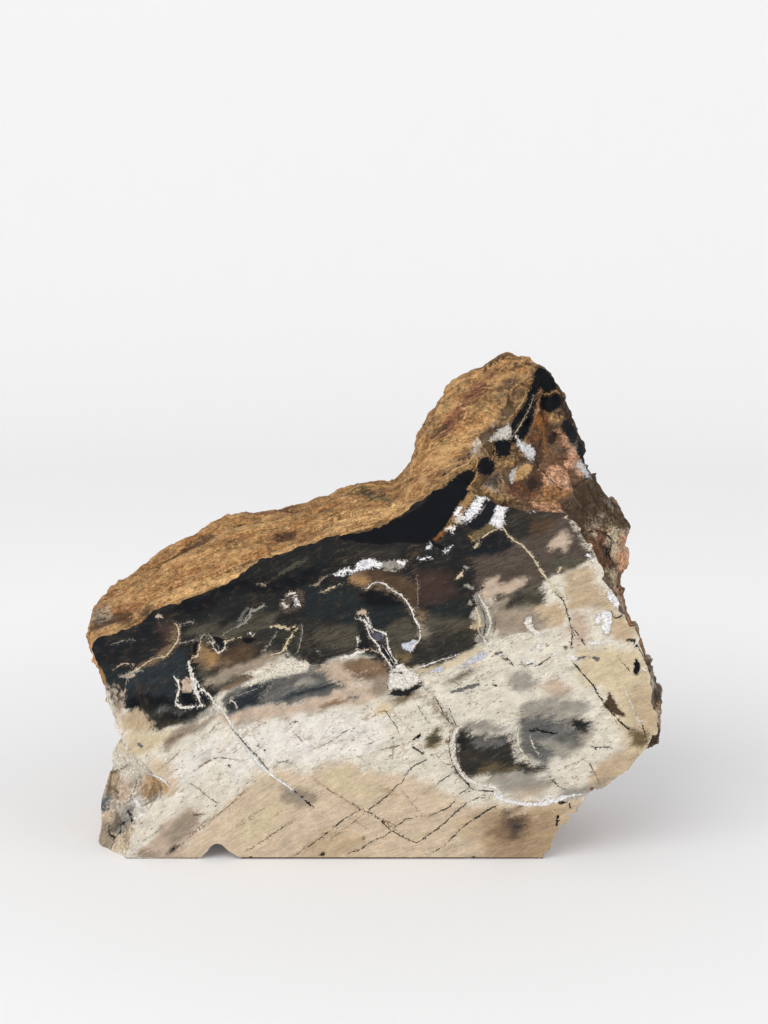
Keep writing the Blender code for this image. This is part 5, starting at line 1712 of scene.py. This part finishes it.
def finishStone(stone):
    stone.data.materials.append(polishedFace())
    stone.data.materials.append(roughSkin())
    stone.data.materials.append(sawnBase())
    paintStone(stone)
    pickOnly(stone)
    bpy.ops.object.shade_smooth_by_angle(angle=math.radians(50))
    layOut(stone)
    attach(stone, "root")
    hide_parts("petrified_wood")


finishStone(stone)
print("stone finished")

studioSetup = {
    "floorRadius": 2.0,      # metres, flat part of the paper
    "sweepRise": 1.4,        # height the paper climbs to, all round
    "sweepDepth": 0.9,       # how far out it climbs
    "keyPower": 34,
    "fillPower": 8,
    "world": 0.56,
    "paperGlow": 0.19,
}


def paperMaterial():
    material, tree, shader = newMaterial("paper", Roughness=0.9, Specular_IOR_Level=0.1)
    place = addNode(tree, "ShaderNodeTexCoord").outputs["Object"]
    fibre = cloud(tree, place, (260.0, 260.0, 260.0), 0.0, 3.0)
    colour = blend(tree, fibre, (0.83, 0.83, 0.83, 1.0), (0.85, 0.85, 0.85, 1.0))
    tree.links.new(colour, shader.inputs["Base Color"])
    flat = addNode(tree, "ShaderNodeVectorMath", {0: place, 1: (1.0, 1.0, 0.0)}, operation="MULTIPLY")
    reach = addNode(tree, "ShaderNodeVectorMath", {0: flat.outputs[0]}, operation="LENGTH").outputs["Value"]
    shader.inputs["Emission Color"].default_value = (0.99, 0.985, 1.0, 1.0)
    glow = ramp(tree, reach, 0.15, 0.8, 0.07, studioSetup["paperGlow"])
    tree.links.new(glow, shader.inputs["Emission Strength"])
    return material


def buildPaper():
    # a round sheet of pale paper that curves up on every side
    setup = studioSetup
    profile = [(0.0, 0.0), (setup["floorRadius"], 0.0)]
    for step in range(1, 13):
        turn = math.pi / 2 * step / 12
        profile.append((
            setup["floorRadius"] + setup["sweepDepth"] * math.sin(turn),
            setup["sweepRise"] * (1 - math.cos(turn)),
        ))
    bm = bmesh.new()
    path = [bm.verts.new((radius, 0, height)) for radius, height in profile]
    edges = [bm.edges.new(pair) for pair in zip(path, path[1:])]
    bmesh.ops.spin(
        bm, geom=path + edges, axis=(0, 0, 1), cent=(0, 0, 0), angle=math.tau, steps=96, use_merge=True
    )
    bmesh.ops.remove_doubles(bm, verts=bm.verts, dist=0.0001)
    bmesh.ops.recalc_face_normals(bm, faces=bm.faces)
    mesh = bpy.data.meshes.new("paperSweep")
    bm.to_mesh(mesh)
    bm.free()
    paper = bpy.data.objects.new("paperSweep", mesh)
    bpy.context.collection.objects.link(paper)
    if mesh.polygons[0].normal.z < 0:
        mesh.flip_normals()
    mesh.materials.append(paperMaterial())
    pickOnly(paper)
    bpy.ops.object.shade_smooth()


def softLamp(name, place, aim, width, height, power, colour):
    bpy.ops.object.light_add(type="AREA", location=place)
    lamp = bpy.context.object
    lamp.name = name
    lamp.data.shape = "RECTANGLE"
    lamp.data.size = width
    lamp.data.size_y = height
    lamp.data.energy = power
    lamp.data.color = colour
    lamp.rotation_euler = (Vector(aim) - Vector(place)).to_track_quat("-Z", "Y").to_euler()


def lightStudio():
    setup = studioSetup
    centre = (0.0, 0.0, 0.13)
    softLamp("keyLamp", (-1.2, -1.6, 1.8), centre, 2.2, 1.8, setup["keyPower"], (1.0, 0.99, 0.975))
    softLamp("fillLamp", (1.7, -1.0, 1.3), centre, 1.8, 1.6, setup["fillPower"], (0.98, 0.985, 1.0))
    world = bpy.data.worlds.new("studioAir")
    world.use_nodes = True
    air = world.node_tree.nodes["Background"]
    air.inputs["Color"].default_value = (0.96, 0.96, 0.97, 1.0)
    air.inputs["Strength"].default_value = setup["world"]
    bpy.context.scene.world = world
    bpy.context.scene.view_settings.view_transform = "Standard"


def placeCamera():
    bpy.ops.object.camera_add(location=viewPoint())
    camera = bpy.context.object
    camera.name = "studioCamera"
    camera.data.lens = cameraSetup["lens"]
    camera.data.sensor_width = 36
    camera.rotation_euler = (math.radians(90 - cameraSetup["elevation"]), 0, 0)
    bpy.context.scene.camera = camera


buildPaper()
lightStudio()
placeCamera()
print("studio ready")
